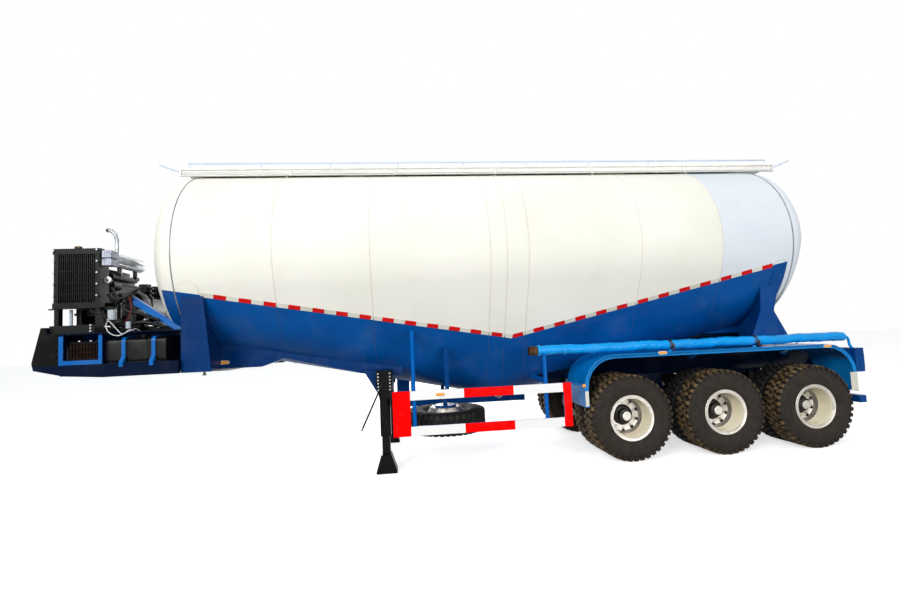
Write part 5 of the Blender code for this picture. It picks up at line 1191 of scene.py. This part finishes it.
# %% Carcass of a tyre
tyre_low, tyre_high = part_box("tyre_1_left_outer")
TYRE_RADIUS = (tyre_high.z - tyre_low.z) / 2
BLOCK_HEIGHT = 0.017
LUG_COUNT = 40
TYRE_STEPS = 120
CARCASS = (  # radius, offset from the tyre's middle
    (0.2560, 0.088), (0.2575, 0.106), (0.3000, 0.1165), (0.3050, 0.1240), (0.3130, 0.1290),
    (0.3180, 0.1330), (0.3260, 0.1345), (0.3300, 0.1375), (0.3420, 0.1400), (0.3600, 0.1450),
    (0.3800, 0.1495), (0.4050, 0.1515), (0.4300, 0.1510), (0.4500, 0.1490), (0.4640, 0.1470),
    (0.4670, 0.1490), (0.4750, 0.1480), (0.4780, 0.1450), (0.4950, 0.1400), (0.5120, 0.1335),
    (0.5280, 0.1260), (0.5400, 0.1150), (0.5440, 0.0900), (0.5440, 0.0400),
)
section = [(radius, offset) for radius, offset in CARCASS]
section += [(TYRE_RADIUS - BLOCK_HEIGHT, 0.0)] + [(radius, -offset) for radius, offset in CARCASS[::-1]]
carcass = bmesh.new()
turned(carcass, section, (0, 0, 0), (0, 1, 0), TYRE_STEPS)
tyre = to_object("tyre", carcass, tyre_rubber, crease=24)
print("tyre radius:", round(TYRE_RADIUS, 3))

# %% Tread blocks
BLOCK_FOOT = 0.53
BLOCK_TAPER = 0.86


def tread_block(outline, low, tops, slant=0.0):
    """Block that stands at the top of the tyre. The outline is in (around, across) from its middle."""
    block = bmesh.new()
    rings = []
    for share, heights in ((1.0, [low] * len(outline)), (BLOCK_TAPER, tops)):
        rings.append([(x * share + slant * y, y if share == 1.0 else y * 0.97, z)
                      for (x, y), z in zip(outline, heights)])
    skin(block, rings)
    return to_object("tread_block", block, tyre_rubber, crease=20)


LUG_LENGTH = math.tau * TYRE_RADIUS / LUG_COUNT * 0.60
LUG_SECTION = (  # radius, offset from the tyre's middle
    (0.5000, 0.1280), (0.5060, 0.1440), (0.5250, 0.1450), (0.5380, 0.1400), (TYRE_RADIUS - 0.005, 0.1300),
    (TYRE_RADIUS, 0.1160), (TYRE_RADIUS, 0.0660), (0.5200, 0.0660),
)
for side in (1, -1):
    lug = bmesh.new()
    skin(lug, [[(x * (1.0 if radius < BLOCK_FOOT else BLOCK_TAPER), offset * side, radius)
                for radius, offset in LUG_SECTION] for x in (-LUG_LENGTH / 2, LUG_LENGTH / 2)])
    lug = to_object("shoulder_lug", lug, tyre_rubber, crease=20)
    repeat(tyre, ring_tree, piece=lug, count=LUG_COUNT, start_turn=0.25 * side, finish=tyre_rubber)
    drop(lug)
    middle_block = tread_block([(-0.030, 0.004 * side), (0.030, 0.004 * side), (0.026, 0.060 * side),
                                (-0.026, 0.060 * side)], BLOCK_FOOT, [TYRE_RADIUS] * 4, slant=0.25)
    repeat(tyre, ring_tree, piece=middle_block, count=LUG_COUNT, start_turn=0.25 * side + 0.5,
           finish=tyre_rubber)
    drop(middle_block)
print("blocks round the tyre:", 4 * LUG_COUNT)

# %% Dust in the tread
# Dust lies on the faces that touch the road; the grooves between them are kept dark as painted shade.
ON_ROAD, IN_GROOVE, ROAD_DEPTH = 0.85, 0.05, 0.008
dust = tyre.data.attributes.new("tread", "FLOAT", "POINT")
for vertex in tyre.data.vertices:
    reach = math.hypot(vertex.co.x, vertex.co.z)
    dust.data[vertex.index].value = ON_ROAD if reach > TYRE_RADIUS - ROAD_DEPTH else IN_GROOVE
print("faces of one tyre:", len(tyre.data.polygons))

# %% [markdown]
# Wheels
#
# Each hub carries two steel rims back to back. From outside one looks past the flange ring into a deep
# painted barrel, down to a disc with ten hand holes, ten nuts and a dark hub with a bright cap. The rim
# is one turned section. Its hand holes are cut with a Boolean, and the nuts repeat round the axle.

# %% Rim and its hand holes
TWIN_HALF = (middle("tyre_1_left_outer").y - middle("tyre_1_left_inner").y) / 2
WHEEL_STEPS = 96
HAND_HOLES = 10
RIM_SECTION = (  # radius, offset from the twins' middle
    (0.2985, 0.297), (0.2970, 0.2985), (0.2930, 0.2985), (0.2880, 0.2950), (0.2720, 0.2930),
    (0.2690, 0.2880), (0.2660, 0.2880), (0.2640, 0.2920), (0.2560, 0.2920), (0.2520, 0.2860),
    (0.2490, 0.2700), (0.2470, 0.2400), (0.2450, 0.2000), (0.2440, 0.1500), (0.2420, 0.1000),
    (0.2400, 0.0900), (0.2360, 0.0840), (0.2330, 0.0700), (0.2280, 0.0440), (0.2200, 0.0260),
    (0.2100, 0.0180), (0.1960, 0.0160), (0.1600, 0.0160), (0.1410, 0.0160), (0.1410, 0.0003),
    (0.2200, 0.0003), (0.2520, 0.0600), (0.2552, 0.0680), (0.2552, 0.2700), (0.2900, 0.2860),
    (0.2985, 0.2900),
)
rim_mesh = bmesh.new()
turned(rim_mesh, RIM_SECTION, (0, 0, 0), (0, 1, 0), WHEEL_STEPS)
rim = to_object("rim", rim_mesh, wheel_silver, crease=24)
HOLE_AT, HOLE_HEIGHT, HOLE_WIDTH = 0.212, 0.038, 0.054
DISC_SLOPE = 0.35
holes = bmesh.new()
for number in range(HAND_HOLES):
    angle = math.tau * (number + 0.5) / HAND_HOLES
    spoke = Vector((math.cos(angle), 0, math.sin(angle)))
    around = Vector((-math.sin(angle), 0, math.cos(angle)))
    tilt = Vector((0, 1, 0)) - spoke * DISC_SLOPE
    ring = [spoke * (HOLE_AT + HOLE_HEIGHT / 2 * math.cos(a)) + around * HOLE_WIDTH / 2 * math.sin(a)
            for a in (math.tau * k / 20 for k in range(20))]
    skin(holes, [[point + tilt * reach for point in ring] for reach in (-0.03, 0.09)])
cutter = to_object("hand_holes", holes, wheel_silver)
boolean = rim.modifiers.new("hand holes", "BOOLEAN")
boolean.operation = "DIFFERENCE"
boolean.solver = "EXACT"
boolean.object = cutter
applied(rim)
drop(cutter)
rim.data.materials.append(barrel_enamel)
# The barrel is what lies between the disc and the flange, inside the well.
BARREL_FROM, BARREL_TO, BARREL_RADIUS = 0.088, 0.287, 0.2535
for face in rim.data.polygons:
    centre = face.center
    if BARREL_FROM < centre.y < BARREL_TO and math.hypot(centre.x, centre.z) < BARREL_RADIUS:
        face.material_index = 1
print("faces of one rim:", len(rim.data.polygons))

# %% Hub, cap and nuts
hub_mesh = bmesh.new()
hub_profile = ((0.0, 0.0), (0.1350, 0.0), (0.1350, 0.030), (0.1250, 0.044), (0.1100, 0.052),
               (0.0950, 0.056), (0.0900, 0.110), (0.0840, 0.118), (0.0640, 0.124), (0.0, 0.124))
turned(hub_mesh, hub_profile, (0, 0, 0), (0, 1, 0), 48)
hub = to_object("hub", hub_mesh, hub_enamel, crease=30)
cap_mesh = bmesh.new()
cap_profile = ((0.0, 0.120), (0.0610, 0.120), (0.0610, 0.150), (0.0585, 0.1545), (0.0470, 0.1560),
               (0.0455, 0.1540), (0.0, 0.1540))
turned(cap_mesh, cap_profile, (0, 0, 0), (0, 1, 0), 40)
cap = to_object("hub_cap", cap_mesh, wheel_silver, crease=30)
NUT_REACH = 0.0165
NUT_CIRCLE = 0.1675
NUT_PROFILE = ((1.0, 0.012), (1.0, 0.034), (0.86, 0.038), (0.5, 0.038), (0.45, 0.050))  # share, depth
hexagon = [(NUT_REACH * math.cos(angle), NUT_REACH * math.sin(angle)) for angle in HEX_TURNS]
nut_mesh = bmesh.new()
skin(nut_mesh, [[(x * share, depth, NUT_CIRCLE + z * share) for x, z in hexagon]
                for share, depth in NUT_PROFILE])
nut = to_object("wheel_nut", nut_mesh, zinc, crease=20)
repeat(cap, ring_tree, piece=nut, count=HAND_HOLES, start_turn=0.0, finish=zinc)
drop(nut)
away = Matrix.Rotation(math.pi, 4, "Z")
print("faces of one rim:", len(rim.data.polygons))

# %% [markdown]
# Thirteen tyres and six twin wheels in their places
#
# A right-hand wheel is the left-hand one turned about the vertical, never mirrored, so its faces stay
# outwards. Each piece rides on the body of its own axle end and stands for the solid there.

# %% Wheels in place
same = Matrix.Identity(4)
for number in (1, 2, 3):
    for label in ("left", "right"):
        facing = same if label == "left" else away
        for place in ("outer", "inner"):
            node = f"tyre_{number}_{label}_{place}"
            piece = gathered(f"{node}_tread", [(tyre.data, Matrix.Translation(middle(node)) @ facing)],
                             crease=24)
            # The inner tyres behind the first axle take the near-black rubber as painted shade between the
            # twins.
            if place == "inner" and number > 1:
                piece.data.materials[0] = clean_and_shaded_rubber
            settle(piece, body_of(node), [node])
        node = f"wheel_{number}_{label}"
        centre = (middle(f"tyre_{number}_{label}_outer") + middle(f"tyre_{number}_{label}_inner")) / 2
        place = Matrix.Translation(centre) @ facing
        piece = gathered(f"{node}_pair", [(rim.data, place), (rim.data, place @ away), (hub.data, place),
                                          (hub.data, place @ away), (cap.data, place)], crease=26)
        settle(piece, body_of(node), [node])
print("twin wheels:", 2 * len(AXLES))

# %% Spare wheel, lying flat
flat = Matrix.Rotation(-math.pi / 2, 4, "X")
place = Matrix.Translation(middle("spare_tyre")) @ flat
spare = gathered("spare_tyre_tread", [(tyre.data, place)], crease=24)
spare.data.materials[0] = clean_and_shaded_rubber
settle(spare, "trailer", ["spare_tyre"])
place = place @ Matrix.Translation((0, -TWIN_HALF, 0))
settle(gathered("spare_rim_cut", [(rim.data, place)], crease=26), "trailer", ["spare_rim"])
for piece in (tyre, rim, hub, cap):
    drop(piece)
print("spare wheel at", tuple(round(value, 2) for value in middle("spare_tyre")))

# %% [markdown]
# Side guards
#
# The guards keep people away from the wheels. They are flat rails with bands of red and white
# reflective sheet, on blue posts. The bands have fixed places along the rail, so one material paints
# them by X, and paints everything behind the rail's back face blue.

# %% Guard bands
guard_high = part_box("side_guard_left")[1]
RAIL_BACK = guard_high.y - 0.010
RAIL_TOP = 1.075
RED_BANDS = ((FRONT_AXLE + 2.88, FRONT_AXLE + 3.20), (FRONT_AXLE + 1.56, FRONT_AXLE + 2.20),
             (FRONT_AXLE + 0.70, FRONT_AXLE + 0.91))


def guard_bands(name):
    """Bands of reflective sheet on blue enamel."""
    material, tree, shader = blank(name)
    place = add(tree, "ShaderNodeTexCoord", output="Object")
    x = add(tree, "ShaderNodeSeparateXYZ", {0: place}, "X")
    y = add(tree, "ShaderNodeMath", {0: add(tree, "ShaderNodeSeparateXYZ", {0: place}, "Y")},
            operation="ABSOLUTE")
    red = 0.0
    for low, high in RED_BANDS:
        after = add(tree, "ShaderNodeMath", {0: x, 1: low}, operation="GREATER_THAN")
        before = add(tree, "ShaderNodeMath", {0: x, 1: high}, operation="LESS_THAN")
        red = add(tree, "ShaderNodeMath", {0: after, 1: before, 2: red}, operation="MULTIPLY_ADD")
    # Reflective sheet is set with glass beads; their fine even sparkle is painted in as glints in 8 mm
    # cells.
    beads = add(tree, "ShaderNodeTexVoronoi", {"Vector": place, "Scale": 125.0})
    painted_bead_glint = add(tree, "ShaderNodeMapRange", {0: beads, 3: 0.0, 4: 0.25})
    white = add(tree, "ShaderNodeMix", {0: painted_bead_glint, 6: linear("#F6F6F4"), 7: linear("#E6E6E2")}, 2,
                data_type="RGBA")
    signal = add(tree, "ShaderNodeMix", {0: painted_bead_glint, 6: linear("#FA0000"), 7: linear("#EA0000")}, 2,
                 data_type="RGBA")
    sheet = add(tree, "ShaderNodeMix", {0: red, 6: white, 7: signal}, 2, data_type="RGBA")
    in_front = add(tree, "ShaderNodeMath", {0: y, 1: RAIL_BACK}, operation="GREATER_THAN")
    low_enough = add(tree, "ShaderNodeMath", {0: add(tree, "ShaderNodeSeparateXYZ", {0: place}, "Z"),
                                              1: RAIL_TOP}, operation="LESS_THAN")
    on_rail = add(tree, "ShaderNodeMath", {0: in_front, 1: low_enough}, operation="MULTIPLY")
    colour = add(tree, "ShaderNodeMix", {0: on_rail, 6: linear("#0060B4"), 7: sheet}, 2, data_type="RGBA")
    dust = add(tree, "ShaderNodeMath", {0: patches(tree, 0.12, 0.5, 0.8, 8.0), 1: 0.03},
               operation="MULTIPLY")
    colour = add(tree, "ShaderNodeMix", {0: dust, 6: colour, 7: linear("#8D8675")}, 2, data_type="RGBA")
    tree.links.new(colour, shader.inputs["Base Color"])
    rough = add(tree, "ShaderNodeMapRange", {0: dust, 2: 0.03, 3: 0.25, 4: 0.5})
    tree.links.new(rough, shader.inputs["Roughness"])
    shader.inputs["Specular IOR Level"].default_value = 0.06
    return material


guard_sheet = guard_bands("guard_reflective_sheet")
for node in ("side_guard_left", "side_guard_right"):
    dress(node, guard_sheet, 0.003, 40)
print("red bands on each rail:", len(RED_BANDS))

# %% [markdown]
# Hose and clamps
#
# The unloading hose lies along the left fender in two clamps. It was painted over with the trailer, so
# it is blue, lumpy and chipped, and its front end shows the bare threads of its coupling. Rusty chains
# hold it down. A plain tube would be too even, so its rings wander a little and vary in size.

# %% Carried hose
hose_low, hose_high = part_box("carried_hose")
HOSE_AXIS = Vector((0, middle("carried_hose").y, hose_high.z - 0.070))
HOSE_RADIUS = 0.062
CLAMPS = (FRONT_AXLE - 0.63, FRONT_AXLE - 1.86)
# Slow waves bend the hose, and quick ones make it lumpy.
line = []
for x in spread(hose_high.x - 0.12, hose_low.x, 0.02):
    wave = 0.004 * math.sin(x * 5.1) + 0.003 * math.sin(x * 11.3 + 1.0)
    line.append((x, HOSE_AXIS.y + 0.5 * wave, HOSE_AXIS.z + wave))
hose = bmesh.new()
rings = []
for number, (x, y, z) in enumerate(line):
    rings.append([])
    for k in range(24):
        angle = math.tau * k / 24
        lump = 0.0022 * math.sin(x * 23.0 + 2 * angle) + 0.0015 * math.sin(x * 57.0 + 3 * angle)
        radius = HOSE_RADIUS + lump - (0.030 if number in (0, len(line) - 1) else 0.0)
        rings[-1].append((x, y + radius * math.cos(angle), z + radius * math.sin(angle)))
skin(hose, rings)
HOSE_BANDS = ((0.15, 0.010, 0.040), (0.25, 0.007, 0.030), (0.50, 0.008, 0.050))  # behind, rise, width
for behind, grow, width in HOSE_BANDS:
    x = hose_high.x - behind
    band = ((HOSE_RADIUS - 0.01, 0.0), (HOSE_RADIUS + grow, 0.004), (HOSE_RADIUS + grow, width - 0.004),
            (HOSE_RADIUS - 0.01, width))
    turned(hose, band, (x, HOSE_AXIS.y, HOSE_AXIS.z), (1, 0, 0), 32)
for x in CLAMPS:
    brick(hose, (x - 0.020, HOSE_AXIS.y - 0.020, hose_low.z + 0.001),
          (x + 0.020, HOSE_AXIS.y + 0.020, HOSE_AXIS.z - 0.05))
# At its rear end the hose is held by a bent stay.
STAY_RADIUS = 0.017
stay = smooth_line([(hose_low.x + 0.03, HOSE_AXIS.y, HOSE_AXIS.z),
                    (-5.165, HOSE_AXIS.y, HOSE_AXIS.z - 0.010),
                    (-5.205, HOSE_AXIS.y - 0.01, HOSE_AXIS.z - 0.060),
                    (-5.225, HOSE_AXIS.y - 0.02, 1.37), (-5.270, HOSE_AXIS.y - 0.03, 1.315)])
tube(hose, stay, STAY_RADIUS, 10)
settle(to_object("carried_hose_wall", hose, hose_enamel, crease=50),
       stands_for=["carried_hose"])
print("hose rings:", len(rings))

# %% Threads and chains
THREADS = 6
THREAD_PITCH = 0.020
THREAD_LENGTH = 0.128
threads = bmesh.new()
section = [(0.046, 0.0)]
for start_at in (number * THREAD_PITCH for number in range(THREADS)):
    section += [(0.054, 0.002 + start_at), (0.059, 0.007 + start_at), (0.059, 0.014 + start_at)]
section += [(0.054, THREAD_LENGTH), (0.046, THREAD_LENGTH)]
turned(threads, section, (hose_high.x - THREAD_LENGTH, HOSE_AXIS.y, HOSE_AXIS.z), (1, 0, 0), 32)
turned(threads, ((0.0, 0.0), (0.048, 0.0), (0.048, 0.004), (0.0, 0.004)),
       (hose_high.x - 0.10, HOSE_AXIS.y, HOSE_AXIS.z), (1, 0, 0), 24)
CHAIN_LINKS = 5
RING_IN, RING_OUT, RING_WIDTH = HOSE_RADIUS - 0.004, HOSE_RADIUS + 0.008, 0.012
RING_PROFILE = ((RING_IN, 0.0), (RING_OUT, 0.0), (RING_OUT, RING_WIDTH), (RING_IN, RING_WIDTH))
for x in CLAMPS:
    for along in (-0.016, 0.010):
        turned(threads, RING_PROFILE, (x + along, HOSE_AXIS.y, HOSE_AXIS.z), (1, 0, 0), 28)
    for number in range(CHAIN_LINKS):
        # Every second link stands across the one before it.
        across = number % 2
        middle_x = x - 0.03 + 0.008 * math.sin(number)
        middle_z = HOSE_AXIS.z - 0.012 - number * 0.024
        link = []
        for angle in (math.tau * k / 10 for k in range(11)):
            link.append((middle_x + 0.011 * math.cos(angle) * (1 - across),
                         HOSE_AXIS.y + 0.068 + 0.010 * math.cos(angle) * across,
                         middle_z + 0.018 * math.sin(angle)))
        tube(threads, link, 0.0045, 6)
settle(to_object("hose_threads_and_chains", threads, rusty_steel, crease=40))
print("chain links:", CHAIN_LINKS * len(CLAMPS))

# %% [markdown]
# Marker lamps and fender ends
#
# Amber lamps mark the side: a long lens on the frame's beam, one on the guard, two on the fender and a
# round one on its front. Each is a rounded plate on a paler base, and white sheet marks the fender's ends.

# %% Marker lamps and fender ends
lenses = bmesh.new()
bases = bmesh.new()
MARKERS = (  # x, face y, z, length, height
    (3.470, 0.596, 1.512, 0.165, 0.036), (0.602, guard_high.y, 1.010, 0.105, 0.030),
    (-2.360, 1.2505, 1.392, 0.105, 0.026), (-4.740, 1.2505, 1.372, 0.100, 0.026),
)
for x, y, z, length, height in MARKERS:
    for side in (1, -1):
        # The long lamp on the beam stands on a thicker base than the others.
        back = -0.028 if x > 3 else -0.004
        for mesh, grow, depths in ((lenses, 0.0, (0.0, 0.012)), (bases, 0.008, (back, 0.005))):
            outline = rounded(length + 2 * grow, height + 2 * grow, height / 2 + grow - 0.0005)
            skin(mesh, [[(x + along, side * (y + depth), z + up) for along, up in outline]
                        for depth in depths])
ROUND_LENS = ((0.0, -0.012), (0.024, -0.012), (0.024, 0.006), (0.018, 0.012), (0.0, 0.014))
for side in (1, -1):
    turned(lenses, ROUND_LENS, (-1.262, side * 1.247, 1.017), (0, side, 0), 20)
settle(soft("marker_lenses", lenses, amber_lens, 0.002))
settle(to_object("marker_lamp_bodies", bases, white_sheet))

FENDER_SHEETS = ((-1.317, -1.271, 0.752, 0.945), (-5.149, -5.045, 0.745, 1.000))  # x range, z range
SHEET_IN, SHEET_OUT = 1.2490, 1.2520
sheets = bmesh.new()
for side in (1, -1):
    for low_x, high_x, low_z, high_z in FENDER_SHEETS:
        low_y, high_y = sorted((side * SHEET_IN, side * SHEET_OUT))
        brick(sheets, (low_x, low_y, low_z), (high_x, high_y, high_z))
settle(soft("fender_end_sheets", sheets, white_sheet, 0.001))
print("markers:", 2 * len(MARKERS))

# %% [markdown]
# Chassis webs
#
# Below the rear course a web plate closes the gap between the chassis rail and the belly. It could be cut
# from a flat plate with a Boolean; here its upper edge is worked out from the same sections as the
# tank, a little inside the skin, so it always meets it.

# %% Chassis webs
WEB_Y = 0.47
WEB_HALF = 0.006
WEB_LOW = 1.25
WEB_LAP = 0.02
WEB_REAR, WEB_FRONT, WEB_STEP = -4.34, -1.60, 0.12
webs = bmesh.new()
for side in (1, -1):
    rows = []
    for x in spread(WEB_REAR, WEB_FRONT, WEB_STEP):
        extra = DEEPEST * (TANK_REAR - x) / (TANK_REAR - TANK_LOW)
        radius = TANK_RADIUS - LOWER_TAPER * extra
        centre_z = TANK_CENTRE_Z - extra - TANK_RADIUS + radius
        top = centre_z - math.sqrt(radius ** 2 - WEB_Y ** 2) + WEB_LAP
        rows.append([(x, side * (WEB_Y + depth), z) for depth, z in (
            (-WEB_HALF, WEB_LOW), (WEB_HALF, WEB_LOW), (WEB_HALF, top), (-WEB_HALF, top))])
    skin(webs, rows)
settle(to_object("chassis_web_plates", webs, blue_enamel, crease=40))
print("web stations:", len(rows))

# %% [markdown]
# Walkway edge
#
# The walkway's edge is a channel, open to the side, with a stiffener every 1.475 m. Its inside lies in
# shade, drawn as a narrow grey slot. The flanges are long boxes, and the row tree sets the stiffeners.

# %% Walkway edge
EDGE_Y = 0.500
WALK_ENDS = (FRONT_AXLE - 2.95, FRONT_AXLE + 5.93)
RAIL_RISE = 0.107
WALK_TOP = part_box("walkway")[1].z - RAIL_RISE
RIB_COUNT = 7
RIB_STEP = 1.475
edges = bmesh.new()
slots = bmesh.new()
for side in (1, -1):
    for low_z, high_z in ((WALK_TOP - 0.010, WALK_TOP + 0.001), (WALK_TOP - 0.098, WALK_TOP - 0.090)):
        low_y, high_y = sorted((side * (EDGE_Y - 0.004), side * (EDGE_Y + 0.034)))
        brick(edges, (WALK_ENDS[0], low_y, low_z), (WALK_ENDS[1], high_y, high_z))
    low_y, high_y = sorted((side * (EDGE_Y - 0.002), side * (EDGE_Y + 0.003)))
    brick(slots, (WALK_ENDS[0] + 0.03, low_y, WALK_TOP - 0.088),
          (WALK_ENDS[1] - 0.03, high_y, WALK_TOP - 0.070))
settle(soft("walkway_channels", edges, cream_enamel, 0.002))
settle(to_object("walkway_slots", slots, grey_shade_line))
for side, label in ((1, "left"), (-1, "right")):
    rib = bmesh.new()
    low_y, high_y = sorted((side * (EDGE_Y - 0.003), side * (EDGE_Y + 0.033)))
    brick(rib, (FRONT_AXLE - 2.936, low_y, WALK_TOP - 0.094),
          (FRONT_AXLE - 2.920, high_y, WALK_TOP - 0.006))
    rib = to_object("walkway_stiffener", rib, cream_enamel)
    ribs = bpy.data.objects.new(f"walkway_stiffeners_{label}", bpy.data.meshes.new("walkway_stiffeners"))
    bpy.context.scene.collection.objects.link(ribs)
    repeat(ribs, row_tree, piece=rib, count=RIB_COUNT, step=(RIB_STEP, 0.0, 0.0), finish=cream_enamel)
    settle(ribs)
    drop(rib)
print("stiffeners on each side:", RIB_COUNT)

# %% [markdown]
# Leg bolts
#
# The near leg's gearbox is held by two columns of bolts, which catch the light against the black leg.
# The same bolt as on the radiator is used again.

# %% Leg bolts
LEG_BOLTS = 6
LEG_BOLT_STEP = (0.0, 0.0, 0.042)
LEG_COLUMNS = (1.235, 1.385)
GEARBOX_FACE, LOWEST_BOLT = 0.963, 1.075
for number, x in enumerate(LEG_COLUMNS):
    bolt_column(f"leg_bolts_{number + 1}", (x, GEARBOX_FACE, LOWEST_BOLT), LEG_BOLTS, LEG_BOLT_STEP)
drop(bolt)
print("bolts in each column:", LEG_BOLTS)

# %% [markdown]
# Floor, backdrop and light
#
# The photo shows the trailer cut out on white. A plain pale floor keeps its shadow, and the world is
# white for the camera and for reflections only, so that the white behind it adds no light of its own.

# %% Floor
FLOOR_REACH = 60.0
floor_mesh = bpy.data.meshes.new("floor")
floor_mesh.from_pydata([(x * FLOOR_REACH, y * FLOOR_REACH, 0)
                        for x, y in ((-1, -1), (1, -1), (1, 1), (-1, 1))], [], [(0, 1, 2, 3)])
floor = bpy.data.objects.new("floor", floor_mesh)
bpy.context.scene.collection.objects.link(floor)
floor_paint, tree, shader = blank("pale_floor")
camera_ray = add(tree, "ShaderNodeLightPath", output="Is Camera Ray")
glossy_ray = add(tree, "ShaderNodeLightPath", output="Is Glossy Ray")
seen = add(tree, "ShaderNodeMath", {0: camera_ray, 1: glossy_ray}, operation="ADD", use_clamp=True)
# Light that bounces off the floor onto the belly is that of a grey yard; the eye sees it pale.
tone = add(tree, "ShaderNodeMix", {0: seen, 6: linear("#6E6E6E"), 7: linear("#F2F2F0")}, 2,
           data_type="RGBA")
tree.links.new(tone, shader.inputs["Base Color"])
# It glows for the eye only, so that it runs into the white behind it and adds no light to the trailer.
mirrored = add(tree, "ShaderNodeMath", {0: glossy_ray, 1: 0.25}, operation="MULTIPLY")
glow = add(tree, "ShaderNodeMath", {0: camera_ray, 1: 0.62, 2: mirrored}, operation="MULTIPLY_ADD")
tree.links.new(glow, shader.inputs["Emission Strength"])
shader.inputs["Emission Color"].default_value = linear("#FFFFFF")
shader.inputs["Roughness"].default_value = 0.9
shader.inputs["Specular IOR Level"].default_value = 0.0
floor.data.materials.append(floor_paint)
print("floor reaches", FLOOR_REACH, "m each way")

# %% World
world = bpy.data.worlds.new("pale_sky")
bpy.context.scene.world = world
world.use_nodes = True
tree = world.node_tree
tree.nodes.clear()
camera_ray = add(tree, "ShaderNodeLightPath", output="Is Camera Ray")
glossy_ray = add(tree, "ShaderNodeLightPath", output="Is Glossy Ray")
seen = add(tree, "ShaderNodeMath", {0: camera_ray, 1: glossy_ray}, operation="ADD", use_clamp=True)
light = add(tree, "ShaderNodeBackground", {"Color": linear("#EEF3FA"), "Strength": 0.42})
white = add(tree, "ShaderNodeBackground", {"Color": linear("#FFFFFF"), "Strength": 1.0})
choice = add(tree, "ShaderNodeMixShader", {0: seen, 1: light, 2: white})
add(tree, "ShaderNodeOutputWorld", {"Surface": choice})
print("world:", world.name)

# %% Lamps
LAMPS = (  # name, place, aim, size, watts
    ("key_lamp", (8.0, 13.0, 8.0), (0.0, 0.5, 1.8), 6.0, 1480),
    ("fill_lamp", (-5.0, 15.0, 4.0), (-1.0, 0.5, 1.8), 8.0, 1010),
    ("top_lamp", (0.0, -3.0, 13.0), (0.0, 0.0, 2.0), 8.0, 420),
    ("far_side_lamp", (3.0, -15.0, 5.0), (0.0, -0.5, 1.8), 8.0, 1500),
)
for name, place, aim, size, watts in LAMPS:
    lamp_data = bpy.data.lights.new(name, "AREA")
    lamp_data.size = size
    lamp_data.energy = watts
    lamp = bpy.data.objects.new(name, lamp_data)
    bpy.context.scene.collection.objects.link(lamp)
    lamp.location = place
    lamp.rotation_euler = (Vector(aim) - Vector(place)).to_track_quat("-Z", "Y").to_euler()
bpy.context.scene.view_settings.view_transform = "Standard"
print("lamps:", len(LAMPS))
